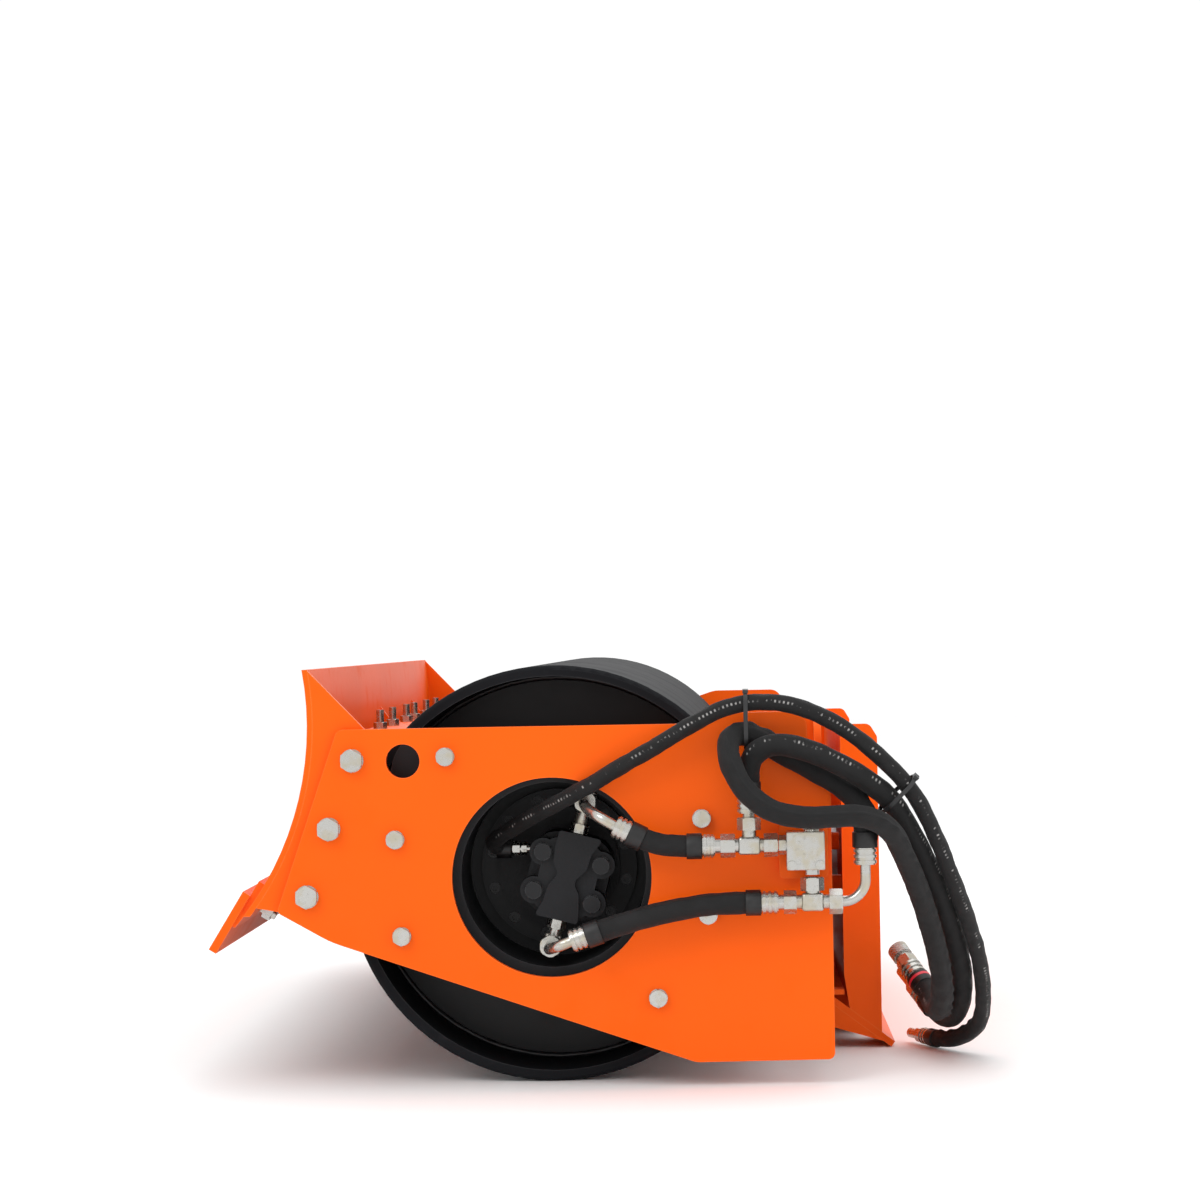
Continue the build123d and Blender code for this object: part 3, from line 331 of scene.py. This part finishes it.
def cast_black(name, settings):
    """Thick paint over a sand casting."""
    s = Shader(name, **{"IOR": 1.5, "Specular IOR Level": 0.3})
    place = s.place()
    grain = s.noise(place, 190.0, 4.0, 0.65)
    pits = s.cells(place, 130.0)
    patch = s.noise(place, 16.0, 3.0)
    colour = s.mix(patch.step(0.35, 0.75), scaled(settings.motor, 0.8), scaled(settings.motor, 1.35))
    colour = s.mix(s.edges(settings.edge_width * 0.8) * 0.4, colour, scaled(settings.motor, 3.4))
    height = grain + pits * 0.5
    return s.finish(Base_Color=colour, Roughness=0.42 + patch * 0.14,
                    Normal=s.bump(height, 0.00055, 0.5))


def zinc_plate(name, settings, knurl=False):
    """Bright plating: yellow patches, fine grain, and dull spots where it was gripped."""
    s = Shader(name, **{"Anisotropic": 0.2})
    place = s.place()
    patch = s.noise(place, 46.0, 3.0).step(0.42, 0.68)
    fine = s.noise(place, 520.0, 2.0)
    spots = s.noise(place, 150.0, 4.0).step(0.55, 0.74)
    colour = s.mix(patch * 0.7, settings.zinc, settings.zinc_tint)
    colour = s.mix(spots * 0.35, colour, scaled(settings.zinc, 0.55))
    height = fine + spots * 0.5
    depth = 0.00008
    if knurl:
        x, y, z = s.parts(s.place((1900.0, 1900.0, 1100.0)))
        height = (x + z).sine() * (x - z).sine() + (y + z).sine() * (y - z).sine()
        depth = 0.0006
    return s.finish(Base_Color=colour, Metallic=0.93 - spots * 0.25,
                    Roughness=(0.24 + patch * 0.08 + spots * 0.2).clamp(),
                    Normal=s.bump(height, depth, 0.6))


def machined_steel(name, colour, roughness=0.3):
    """Turned steel with fine rings and a film of oil."""
    s = Shader(name, **{"Anisotropic": 0.4})
    place = s.place((6.0, 260.0, 6.0))
    rings = s.noise(place, 4.0, 3.0)
    stain = s.noise(s.place(), 22.0, 4.0).step(0.5, 0.8)
    mixed = s.mix(stain * 0.5, colour, scaled(colour, 0.5))
    return s.finish(Base_Color=mixed, Metallic=0.95 - stain * 0.2,
                    Roughness=(roughness + stain * 0.2 + rings * 0.1).clamp(),
                    Normal=s.bump(rings, 0.00006, 0.5))


def moulded_rubber(name):
    s = Shader(name, **{"IOR": 1.45})
    place = s.place()
    bloom = s.noise(place, 38.0, 4.0).step(0.4, 0.8)
    colour = s.mix(bloom * 0.6, (0.011, 0.011, 0.012), (0.034, 0.034, 0.036))
    return s.finish(Base_Color=colour, Roughness=(0.62 + bloom * 0.2).clamp(),
                    Normal=s.bump(s.noise(place, 300.0, 3.0), 0.0002, 0.5))


def moulded_nylon(name, colour, roughness):
    """Ribbed tie plastic with pale stress marks."""
    s = Shader(name, **{"IOR": 1.53})
    place = s.place()
    x, y, z = s.parts(s.place((2600.0, 2600.0, 2600.0)))
    ribs = (x + y + z).sine()
    stress = s.noise(place, 120.0, 3.0).step(0.55, 0.8)
    mixed = s.mix(stress * 0.4, colour, tuple(min(1.0, part * 1.5 + 0.02) for part in colour))
    return s.finish(Base_Color=mixed, Roughness=(roughness + stress * 0.15).clamp(),
                    Normal=s.bump(ribs, 0.0001, 0.4))


def woven_sleeve(name, settings, radius):
    """A woven nylon sleeve: crossing yarns, painted highlights on the crests of its folds and a
    stitched seam.
    """
    s = Shader(name, **{"IOR": 1.5, "Specular IOR Level": 0.35, "Sheen Weight": 0.04,
                        "Sheen Roughness": 0.45})
    around, along, _ = s.parts(s.place(uv=True))
    yarns = round(math.tau * radius / YARN_PITCH)
    warp = (around * (math.tau * yarns)).sine()
    weft = (along * (math.tau / YARN_PITCH)).sine()
    weave = warp * weft
    lint = s.noise(s.place(), 55.0, 5.0, 0.65)
    crease = s.noise(s.place(), 24.0, 3.0)
    seam = (1 - ((around - 0.5) * (around - 0.5) * 900.0)).clamp()
    stitches = (along * (math.tau / STITCH_PITCH)).sine().step(0.1, 0.5)
    gaps = lint.step(0.50, 0.60)
    colour = s.mix(lint.step(0.35, 0.75), scaled(settings.sleeve, 0.7), scaled(settings.sleeve, 1.9))
    # Painted highlight: the crests of the folds, raised by the crease bump below, get a lighter colour.
    colour = s.mix((crease.step(0.55, 0.8) * 0.5).clamp(), colour, scaled(settings.sleeve, 3.0))
    colour = s.mix((seam * stitches * gaps).clamp(), colour, settings.thread)
    normal = s.bump(weave, 0.00035, 0.55)
    normal = s.bump(crease, 0.004, 0.35, normal)
    return s.finish(Base_Color=colour, Roughness=(0.60 + lint * 0.22 - warp * 0.04).clamp(),
                    Normal=normal)


def heat_shrink(name, settings):
    """The smooth cuff that holds a sleeve at a crimp."""
    s = Shader(name, **{"IOR": 1.5})
    place = s.place()
    patch = s.noise(place, 80.0, 3.0)
    colour = s.mix(patch.step(0.4, 0.7), scaled(settings.sleeve, 0.8), scaled(settings.sleeve, 2.2))
    return s.finish(Base_Color=colour, Roughness=0.38 + patch * 0.16,
                    Normal=s.bump(patch, 0.0006, 0.5))


def weld_metal(name, colour):
    """A painted weld: the paint follows the ripples of the bead."""
    s = Shader(name, **{"IOR": 1.5, "Coat Roughness": 0.15})
    place = s.place()
    ripple = s.noise(place, 140.0, 3.0)
    mixed = s.mix(ripple.step(0.4, 0.7), scaled(colour, 0.82), scaled(colour, 1.05))
    return s.finish(Base_Color=mixed, Roughness=0.34 + ripple * 0.12, Coat_Weight=0.15 + ripple * 0.05,
                    Normal=s.bump(ripple, 0.0006, 0.5))


def pale_floor(name, settings):
    s = Shader(name, **{"Specular IOR Level": 0.1})
    grain = s.noise(s.place(), 30.0, 2.0)
    colour = s.mix(grain.step(0.3, 0.7), scaled(settings.floor, 0.995), settings.floor)
    return s.finish(Base_Color=colour, Roughness=0.9 + grain * 0.05)


# ---------------------------------------------------------------- hose routes, in metres
DRAIN_ROUTE = [
    (-66, -850, 33), (-78, -850, 33), (-91, -858, 38), (-93, -875, 45), (-82, -890, 53),
    (-62, -908, 66), (-36, -930, 82), (-6, -958, 98), (24, -996, 114), (60, -1026, 134),
    (104, -1036, 160), (152, -1038, 186), (205, -1040, 218), (262, -1044, 246), (325, -1048, 250),
    (385, -1052, 232), (440, -1052, 198), (486, -1052, 156), (521, -1045, 116), (547, -1016, 66),
    (572, -978, 7), (600, -915, -64), (626, -845, -140), (637, -777, -200), (637, -712, -254),
    (614, -664, -281), (586, -624, -290), (568, -580, -290),
]
PRESSURE_ROUTE = [
    (285, -1049, 112), (285, -1049, 132), (286, -1054, 154), (294, -1062, 176), (318, -1068, 190),
    (356, -1070, 184), (402, -1070, 166), (446, -1058, 140), (488, -1036, 108), (521, -998, 52),
    (549, -953, -4), (576, -894, -70), (599, -824, -140), (607, -754, -194), (605, -698, -232),
    (595, -650, -254), (578, -612, -250), (562, -584, -230),
]
RETURN_ROUTE = [
    (450, -1049, 38), (450, -1049, 62), (449, -1044, 86), (438, -1034, 108), (412, -1028, 130),
    (376, -1026, 151), (338, -1026, 172), (306, -1028, 192), (277, -1037, 205), (258, -1058, 198),
    (256, -1084, 174), (268, -1100, 142), (290, -1106, 112), (324, -1108, 92), (366, -1108, 84),
    (410, -1106, 87), (452, -1096, 86), (488, -1068, 64), (507, -1024, 24), (528, -980, -22),
    (550, -918, -88), (569, -850, -160), (573, -784, -212), (570, -722, -236), (566, -672, -230),
    (560, -640, -212), (546, -616, -192),
]
SUPPLY_LINE = [(113, -1049, 65), (135, -1049, 54), (160, -1049, 47), (190, -1049, 44), (218, -1049, 44)]
RETURN_LINE = [
    (49, -1049, -81.6), (90, -1049, -68), (135, -1049, -56), (180, -1049, -46), (230, -1049, -38.5),
    (278, -1049, -38), (301, -1049, -38),
]


def placed(route):
    """A route given in millimetres from the middle of the drum, as points in the frame."""
    return [AXLE + Vector(point) / 1000 for point in route]


# ---------------------------------------------------------------- shared making
def clear_selection():
    if bpy.context.object and bpy.context.object.mode != "OBJECT":
        bpy.ops.object.mode_set(mode="OBJECT")
    bpy.ops.object.select_all(action="DESELECT")


def spline_line(name, points):
    """The smooth centreline of a route, read from a NURBS spline with those control points."""
    curve = bpy.data.curves.new(name, "CURVE")
    curve.dimensions = "3D"
    spline = curve.splines.new("NURBS")
    spline.points.add(len(points) - 1)
    for control, point in zip(spline.points, points):
        control.co = (*point, 1.0)
    spline.order_u = 3
    spline.use_endpoint_u = True
    spline.resolution_u = 10
    holder = bpy.data.objects.new(name, curve)
    bpy.context.scene.collection.objects.link(holder)
    bpy.context.view_layer.update()
    mesh = bpy.data.meshes.new_from_object(holder)
    line = [vertex.co.copy() for vertex in mesh.vertices]
    bpy.data.objects.remove(holder)
    bpy.data.curves.remove(curve)
    bpy.data.meshes.remove(mesh)
    return line


def even_line(line, step):
    """The same line with points a fixed step apart."""
    lengths = [(b - a).length for a, b in zip(line, line[1:])]
    total = sum(lengths)
    count = max(2, round(total / step))
    result, index, passed = [line[0].copy()], 0, 0.0
    for i in range(1, count):
        goal = total * i / count
        while passed + lengths[index] < goal:
            passed += lengths[index]
            index += 1
        result.append(line[index].lerp(line[index + 1], (goal - passed) / lengths[index]))
    result.append(line[-1].copy())
    return result, total


def line_frames(line, up):
    """A direction, a side and an up vector at each point, without twist."""
    frames = []
    side = None
    for i, point in enumerate(line):
        ahead = (line[min(i + 1, len(line) - 1)] - line[max(i - 1, 0)]).normalized()
        if side is None:
            side = ahead.cross(up).normalized()
        side = (side - ahead * side.dot(ahead)).normalized()
        frames.append((ahead, side, side.cross(ahead).normalized()))
    return frames


def mesh_piece(name, vertices, faces, material):
    mesh = bpy.data.meshes.new(name)
    mesh.from_pydata([tuple(v) for v in vertices], [], faces)
    mesh.polygons.foreach_set("use_smooth", [True] * len(mesh.polygons))
    mesh.materials.append(material)
    piece = bpy.data.objects.new(name, mesh)
    bpy.context.scene.collection.objects.link(piece)
    return piece


def sleeve_radius(radius, seam, angle, along, phase):
    """The sleeve's distance from its centreline: slack folds and a ruffled seam."""
    spot = Vector((math.cos(angle) * 1.1, math.sin(angle) * 1.1, along * 34 + phase * 7))
    fold = noise.noise(spot) * 0.0011 + noise.noise(spot * 2.7) * 0.0005
    drift = 1.6 * noise.noise(Vector((along * 30, phase, 0)))
    ruffle = 0.72 + 0.28 * math.sin(along * 210 + phase + drift)
    away = abs(angle % math.tau - math.pi)
    ridge = max(0.0, 1 - away / SEAM_HALF_WIDTH)
    return radius - 0.0006 + fold + seam * ruffle * ridge ** 0.7


def sleeve_tube(name, line, radius, seam, around, material, seam_turn=0.0, phase=0.0):
    """A closed tube of woven sleeve round a centreline, with its seam standing out."""
    points, total = even_line(line, radius * RING_STEP)
    frames = line_frames(points, Vector((0.13, -1.0, 0.21)))
    vertices, faces, loops = [], [], []
    count = len(points)
    for i, (point, (ahead, side, up)) in enumerate(zip(points, frames)):
        along = total * i / (count - 1)
        for k in range(around):
            angle = math.tau * k / around
            reach = sleeve_radius(radius, seam, angle - math.pi, along, phase)
            turned = angle + seam_turn
            vertices.append(point + (side * math.cos(turned) + up * math.sin(turned)) * reach)
    for i in range(count - 1):
        for k in range(around):
            n = (k + 1) % around
            faces.append((i * around + k, i * around + n, (i + 1) * around + n, (i + 1) * around + k))
            low, high = total * i / (count - 1), total * (i + 1) / (count - 1)
            a, b = k / around, (k + 1) / around
            loops += [(a, low), (b, low), (b, high), (a, high)]
    for start, ring in ((0, range(around - 1, -1, -1)), ((count - 1) * around, range(around))):
        faces.append(tuple(start + k for k in ring))
        loops += [(0.25, 0.0)] * around
    piece = mesh_piece(name, vertices, faces, material)
    layer = piece.data.uv_layers.new(name="length")
    for loop, uv in zip(layer.data, loops):
        loop.uv = uv
    return piece, points, total


def use_material(names, material):
    """Gives one finish to CAD nodes through their own material slots."""
    for name in names:
        for held in NODES[name].material_slots:
            held.material = material


def cylinder_piece(name, radius, depth, centre, axis, vertices):
    """A cylinder added along an axis, with its place on the object."""
    clear_selection()
    turn = Vector(axis).to_track_quat("Z", "Y").to_euler()
    bpy.ops.mesh.primitive_cylinder_add(vertices=vertices, radius=radius, depth=depth,
                                        location=centre, rotation=turn)
    piece = bpy.context.object
    piece.name = piece.data.name = name
    return piece


def settle(piece, material, angle=35):
    """Applies a piece's place to its mesh, smooths it and gives it a finish."""
    clear_selection()
    bpy.context.view_layer.objects.active = piece
    piece.select_set(True)
    bpy.ops.object.transform_apply(location=True, rotation=True, scale=True)
    bpy.ops.object.shade_smooth_by_angle(angle=math.radians(angle))
    piece.data.materials.clear()
    piece.data.materials.append(material)
    return piece


# ---------------------------------------------------------------- operators
class ROLLER_OT_stage(bpy.types.Operator):
    """Camera, pale floor and soft lights"""

    bl_idname = "roller.stage"
    bl_label = "Stage"

    def execute(self, context):
        settings = context.scene.roller_stage
        self.camera(context, settings)
        self.floor(settings)
        self.lights(context)
        return {"FINISHED"}

    @staticmethod
    def camera(context, settings):
        data = bpy.data.cameras.new("camera")
        data.lens, data.sensor_width = settings.lens, 36.0
        data.shift_x, data.shift_y = CAMERA_SHIFT
        data.clip_start, data.clip_end = 0.1, 60.0
        camera = bpy.data.objects.new("camera", data)
        context.scene.collection.objects.link(camera)
        turn = Matrix.Rotation(settings.roll, 4, "Y") @ Matrix.Rotation(math.radians(90), 4, "X")
        place = AXLE + Vector((CAMERA_ASIDE, -settings.distance, CAMERA_ABOVE))
        camera.matrix_world = Matrix.Translation(place) @ turn
        context.scene.camera = camera

    @staticmethod
    def floor(settings):
        clear_selection()
        bpy.ops.mesh.primitive_plane_add(size=1.0, location=(0, 0, -0.0005))
        floor = bpy.context.object
        floor.name = "studio_floor"
        bpy.ops.object.mode_set(mode="EDIT")
        bpy.ops.mesh.select_all(action="SELECT")
        bpy.ops.transform.resize(value=(FLOOR_SIZE, FLOOR_SIZE, 1.0))
        bpy.ops.object.mode_set(mode="OBJECT")
        settle(floor, pale_floor("pale_floor", settings))

    @staticmethod
    def lights(context):
        world = bpy.data.worlds.new("studio")
        world.use_nodes = True
        sky = world.node_tree.nodes["Background"]
        sky.inputs["Color"].default_value = (1.0, 1.0, 1.0, 1.0)
        sky.inputs["Strength"].default_value = SKY_STRENGTH
        context.scene.world = world
        context.scene.view_settings.view_transform = "Standard"
        for name, place, size, power in LAMPS:
            data = bpy.data.lights.new(name, "AREA")
            data.shape, data.size, data.energy = "SQUARE", size, power
            lamp = bpy.data.objects.new(name, data)
            lamp.location = place
            aim = LAMP_TARGET - Vector(place)
            lamp.rotation_euler = aim.to_track_quat("-Z", "Y").to_euler()
            context.scene.collection.objects.link(lamp)


class ROLLER_OT_hoses(bpy.types.Operator):
    """The three long sleeved hoses"""

    bl_idname = "roller.hoses"
    bl_label = "Long hoses"

    def execute(self, context):
        s = context.scene.roller_hoses
        thick = woven_sleeve("thick_sleeve", s, s.thick_radius)
        thin = woven_sleeve("drain_sleeve", s, s.drain_radius)
        rows = (
            ("drain_line", DRAIN_ROUTE, s.drain_radius, thin, "drain_hose", 0.9, 0.3, []),
            ("pressure_line", PRESSURE_ROUTE, s.thick_radius, thick, "pressure_hose", -0.5, 2.1, []),
            ("return_line", RETURN_ROUTE, s.thick_radius, thick, "return_hose", 0.4, 4.4,
             ["coupler_sleeve", "coupler_tie"]),
        )
        for name, route, radius, material, node, turn, phase, on_it in rows:
            line = spline_line(name, placed(route))
            piece, points, total = sleeve_tube(name, line, radius, s.seam, s.around, material,
                                               turn, phase)
            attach(piece, "frame")
            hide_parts(node)
            2 * radius
        return {"FINISHED"}


class ROLLER_OT_motor_hoses(bpy.types.Operator):
    """The two short sleeved hoses between the motor and the valve line"""

    bl_idname = "roller.motor_hoses"
    bl_label = "Motor hoses"

    def execute(self, context):
        s = context.scene.roller_hoses
        material = woven_sleeve("motor_sleeve", s, s.short_radius)
        for name, route, node, turn, phase in (
                ("supply_line", SUPPLY_LINE, "motor_supply_hose", 2.4, 0.7),
                ("motor_return_line", RETURN_LINE, "motor_return_hose", 2.2, 3.3)):
            line = spline_line(name, placed(route))
            piece = sleeve_tube(name, line, s.short_radius - 0.0005, SHORT_SEAM, s.around, material,
                                turn, phase)[0]
            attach(piece, "frame")
            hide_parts(node)
        return {"FINISHED"}


class ROLLER_OT_cuffs(bpy.types.Operator):
    """A smooth black cuff over each sleeve, where it meets its crimp"""

    bl_idname = "roller.cuffs"
    bl_label = "Sleeve cuffs"

    def execute(self, context):
        s = context.scene.roller_hoses
        material = heat_shrink("cuff", s)
        rows = (
            ("drain_cuff", DRAIN_ROUTE, s.drain_radius),
            ("pressure_cuff", PRESSURE_ROUTE, s.thick_radius),
            ("return_cuff", RETURN_ROUTE, s.thick_radius),
            ("supply_cuff", SUPPLY_LINE, s.short_radius),
            ("motor_return_cuff", RETURN_LINE, s.short_radius),
        )
        for name, route, radius in rows:
            for end, (start, ahead) in enumerate((route[:2], route[:-3:-1])):
                self.cuff(f"{name}_{end}", start, ahead, radius, material)
        return {"FINISHED"}

    @staticmethod
    def cuff(name, start, ahead, radius, material):
        start, ahead = placed((start, ahead))
        axis = (ahead - start).normalized()
        piece = cylinder_piece(name, radius + CUFF_OVER_SLEEVE, CUFF_LENGTH,
                               start + axis * CUFF_OFFSET, axis, 48)
        bpy.ops.object.mode_set(mode="EDIT")
        bpy.ops.mesh.select_mode(type="EDGE")
        bpy.ops.mesh.select_all(action="SELECT")
        bpy.ops.mesh.bevel(offset=CUFF_EDGE, segments=3, affect="EDGES", clamp_overlap=True)
        bpy.ops.object.mode_set(mode="OBJECT")
        settle(piece, material)
        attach(piece, "frame")


class ROLLER_OT_drum_welds(bpy.types.Operator):
    """The rippled bead that joins each bulkhead to the drum's shell"""

    bl_idname = "roller.drum_welds"
    bl_label = "Drum welds"

    def execute(self, context):
        settings = context.scene.roller_paint
        material = weld_metal("drum_weld", settings.black)
        low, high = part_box("drum_bulkheads")
        radius = (high[0] - low[0]) / 2
        for name, y, side in (("weld_motor_side", low[1], -1), ("weld_far_side", high[1], 1)):
            self.bead(name, (AXLE.x, y + side * 0.0005, AXLE.z), radius, material)
        return {"FINISHED"}

    @staticmethod
    def bead(name, centre, radius, material):
        clear_selection()
        bpy.ops.mesh.primitive_torus_add(
            major_radius=radius - BEAD_INSET, minor_radius=BEAD_RADIUS, major_segments=360,
            minor_segments=12, location=centre, rotation=(math.radians(90), 0, 0))
        piece = bpy.context.object
        piece.name = piece.data.name = name
        bpy.ops.object.mode_set(mode="EDIT")
        bpy.ops.mesh.select_all(action="SELECT")
        bpy.ops.transform.vertex_random(offset=BEAD_ROUGHNESS, uniform=0.2, seed=3)
        bpy.ops.object.mode_set(mode="OBJECT")
        settle(piece, material, 60)
        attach(piece, "drum")


class ROLLER_OT_finishes(bpy.types.Operator):
    """Paint, plating, rubber and steel for every CAD piece"""

    bl_idname = "roller.finishes"
    bl_label = "Finishes"

    def execute(self, context):
        s = context.scene.roller_paint
        use_material(["side_plate_motor", "side_plate_far", "hitch_plate", "top_lip", "bottom_lip",
                      "hitch_brackets", "moldboard", "blade_end_plates", "hitch_tower",
                      "scraper_blade"], orange_paint("orange_plate", s))
        # The same orange made 5% darker for these parts: painted shade.
        use_material(["rear_beam", "pivot_housing", "backing_bar", "scraper_mount", "pivot_keeper",
                      "valve_bracket", "cutting_edge"], orange_paint("orange_structure_shaded", s, 0.95))
        use_material(["drum_shell"], black_paint("drum_black", s, 0.62, 0.25, 0.08))
        use_material(["drum_bulkheads", "drum_hubs"], black_paint("bulkhead_black", s, 0.42))
        use_material(["carrier_plates", "carrier_cups", "motor_disc", "far_cover"],
                     black_paint("carrier_black", s, 0.46))
        use_material(["motor_body", "motor_cover"], cast_black("motor_casting", s))
        use_material(["blade_bolts", "blade_nuts", "plow_bolts", "isolator_bolts", "scraper_bolts",
                      "valve_screws"], zinc_plate("zinc_bolts", s))
        use_material(["motor_fittings", "motor_hose_ends", "line_tees", "line_nuts", "valve_block",
                      "bundle_hose_ends", "hose_couplers"], zinc_plate("zinc_fittings", s))
        use_material(["relief_cartridge", "coupler_sleeve"], zinc_plate("knurled_zinc", s, True))
        use_material(["disc_screws", "motor_bolts"], black_paint("black_screws", s, 0.34))
        use_material(["isolators"], moulded_rubber("isolator_rubber"))
        use_material(["hose_ties"], moulded_nylon("black_nylon", (0.012, 0.012, 0.013), 0.42))
        use_material(["coupler_tie"], moulded_nylon("red_nylon", (0.72, 0.03, 0.055), 0.36))
        use_material(["drum_bearings", "eccentric_bearings", "eccentric_shaft", "eccentric_weights",
                      "shaft_coupling", "motor_shaft", "pivot_pin"],
                     machined_steel("turned_steel", (0.42, 0.42, 0.43)))
        use_material(["thrust_washer"], machined_steel("bronze", (0.48, 0.30, 0.11), 0.35))
        return {"FINISHED"}


class ROLLER_PT_panel(bpy.types.Panel):
    """The roller's makers and settings"""

    bl_idname = "ROLLER_PT_panel"
    bl_label = "Roller attachment"
    bl_space_type = "VIEW_3D"
    bl_region_type = "UI"
    bl_category = "Roller"

    def draw(self, context):
        for maker in MAKERS:
            self.layout.operator(maker.bl_idname)
        for group in (context.scene.roller_paint, context.scene.roller_hoses,
                      context.scene.roller_stage):
            box = self.layout.box()
            for name in group.__annotations__:
                box.prop(group, name)


MAKERS = (ROLLER_OT_stage, ROLLER_OT_hoses, ROLLER_OT_motor_hoses, ROLLER_OT_cuffs,
          ROLLER_OT_drum_welds, ROLLER_OT_finishes)
CLASSES = (PaintSettings, HoseSettings, StageSettings, *MAKERS, ROLLER_PT_panel)


def register():
    for cls in CLASSES:
        bpy.utils.register_class(cls)
    bpy.types.Scene.roller_paint = PointerProperty(type=PaintSettings)
    bpy.types.Scene.roller_hoses = PointerProperty(type=HoseSettings)
    bpy.types.Scene.roller_stage = PointerProperty(type=StageSettings)


def unregister():
    del bpy.types.Scene.roller_stage
    del bpy.types.Scene.roller_hoses
    del bpy.types.Scene.roller_paint
    for cls in reversed(CLASSES):
        bpy.utils.unregister_class(cls)


def main():
    register()
    bpy.ops.roller.stage()
    bpy.ops.roller.hoses()
    bpy.ops.roller.motor_hoses()
    bpy.ops.roller.cuffs()
    bpy.ops.roller.drum_welds()
    bpy.ops.roller.finishes()
    clear_selection()


if __name__ == "__main__":
    main()
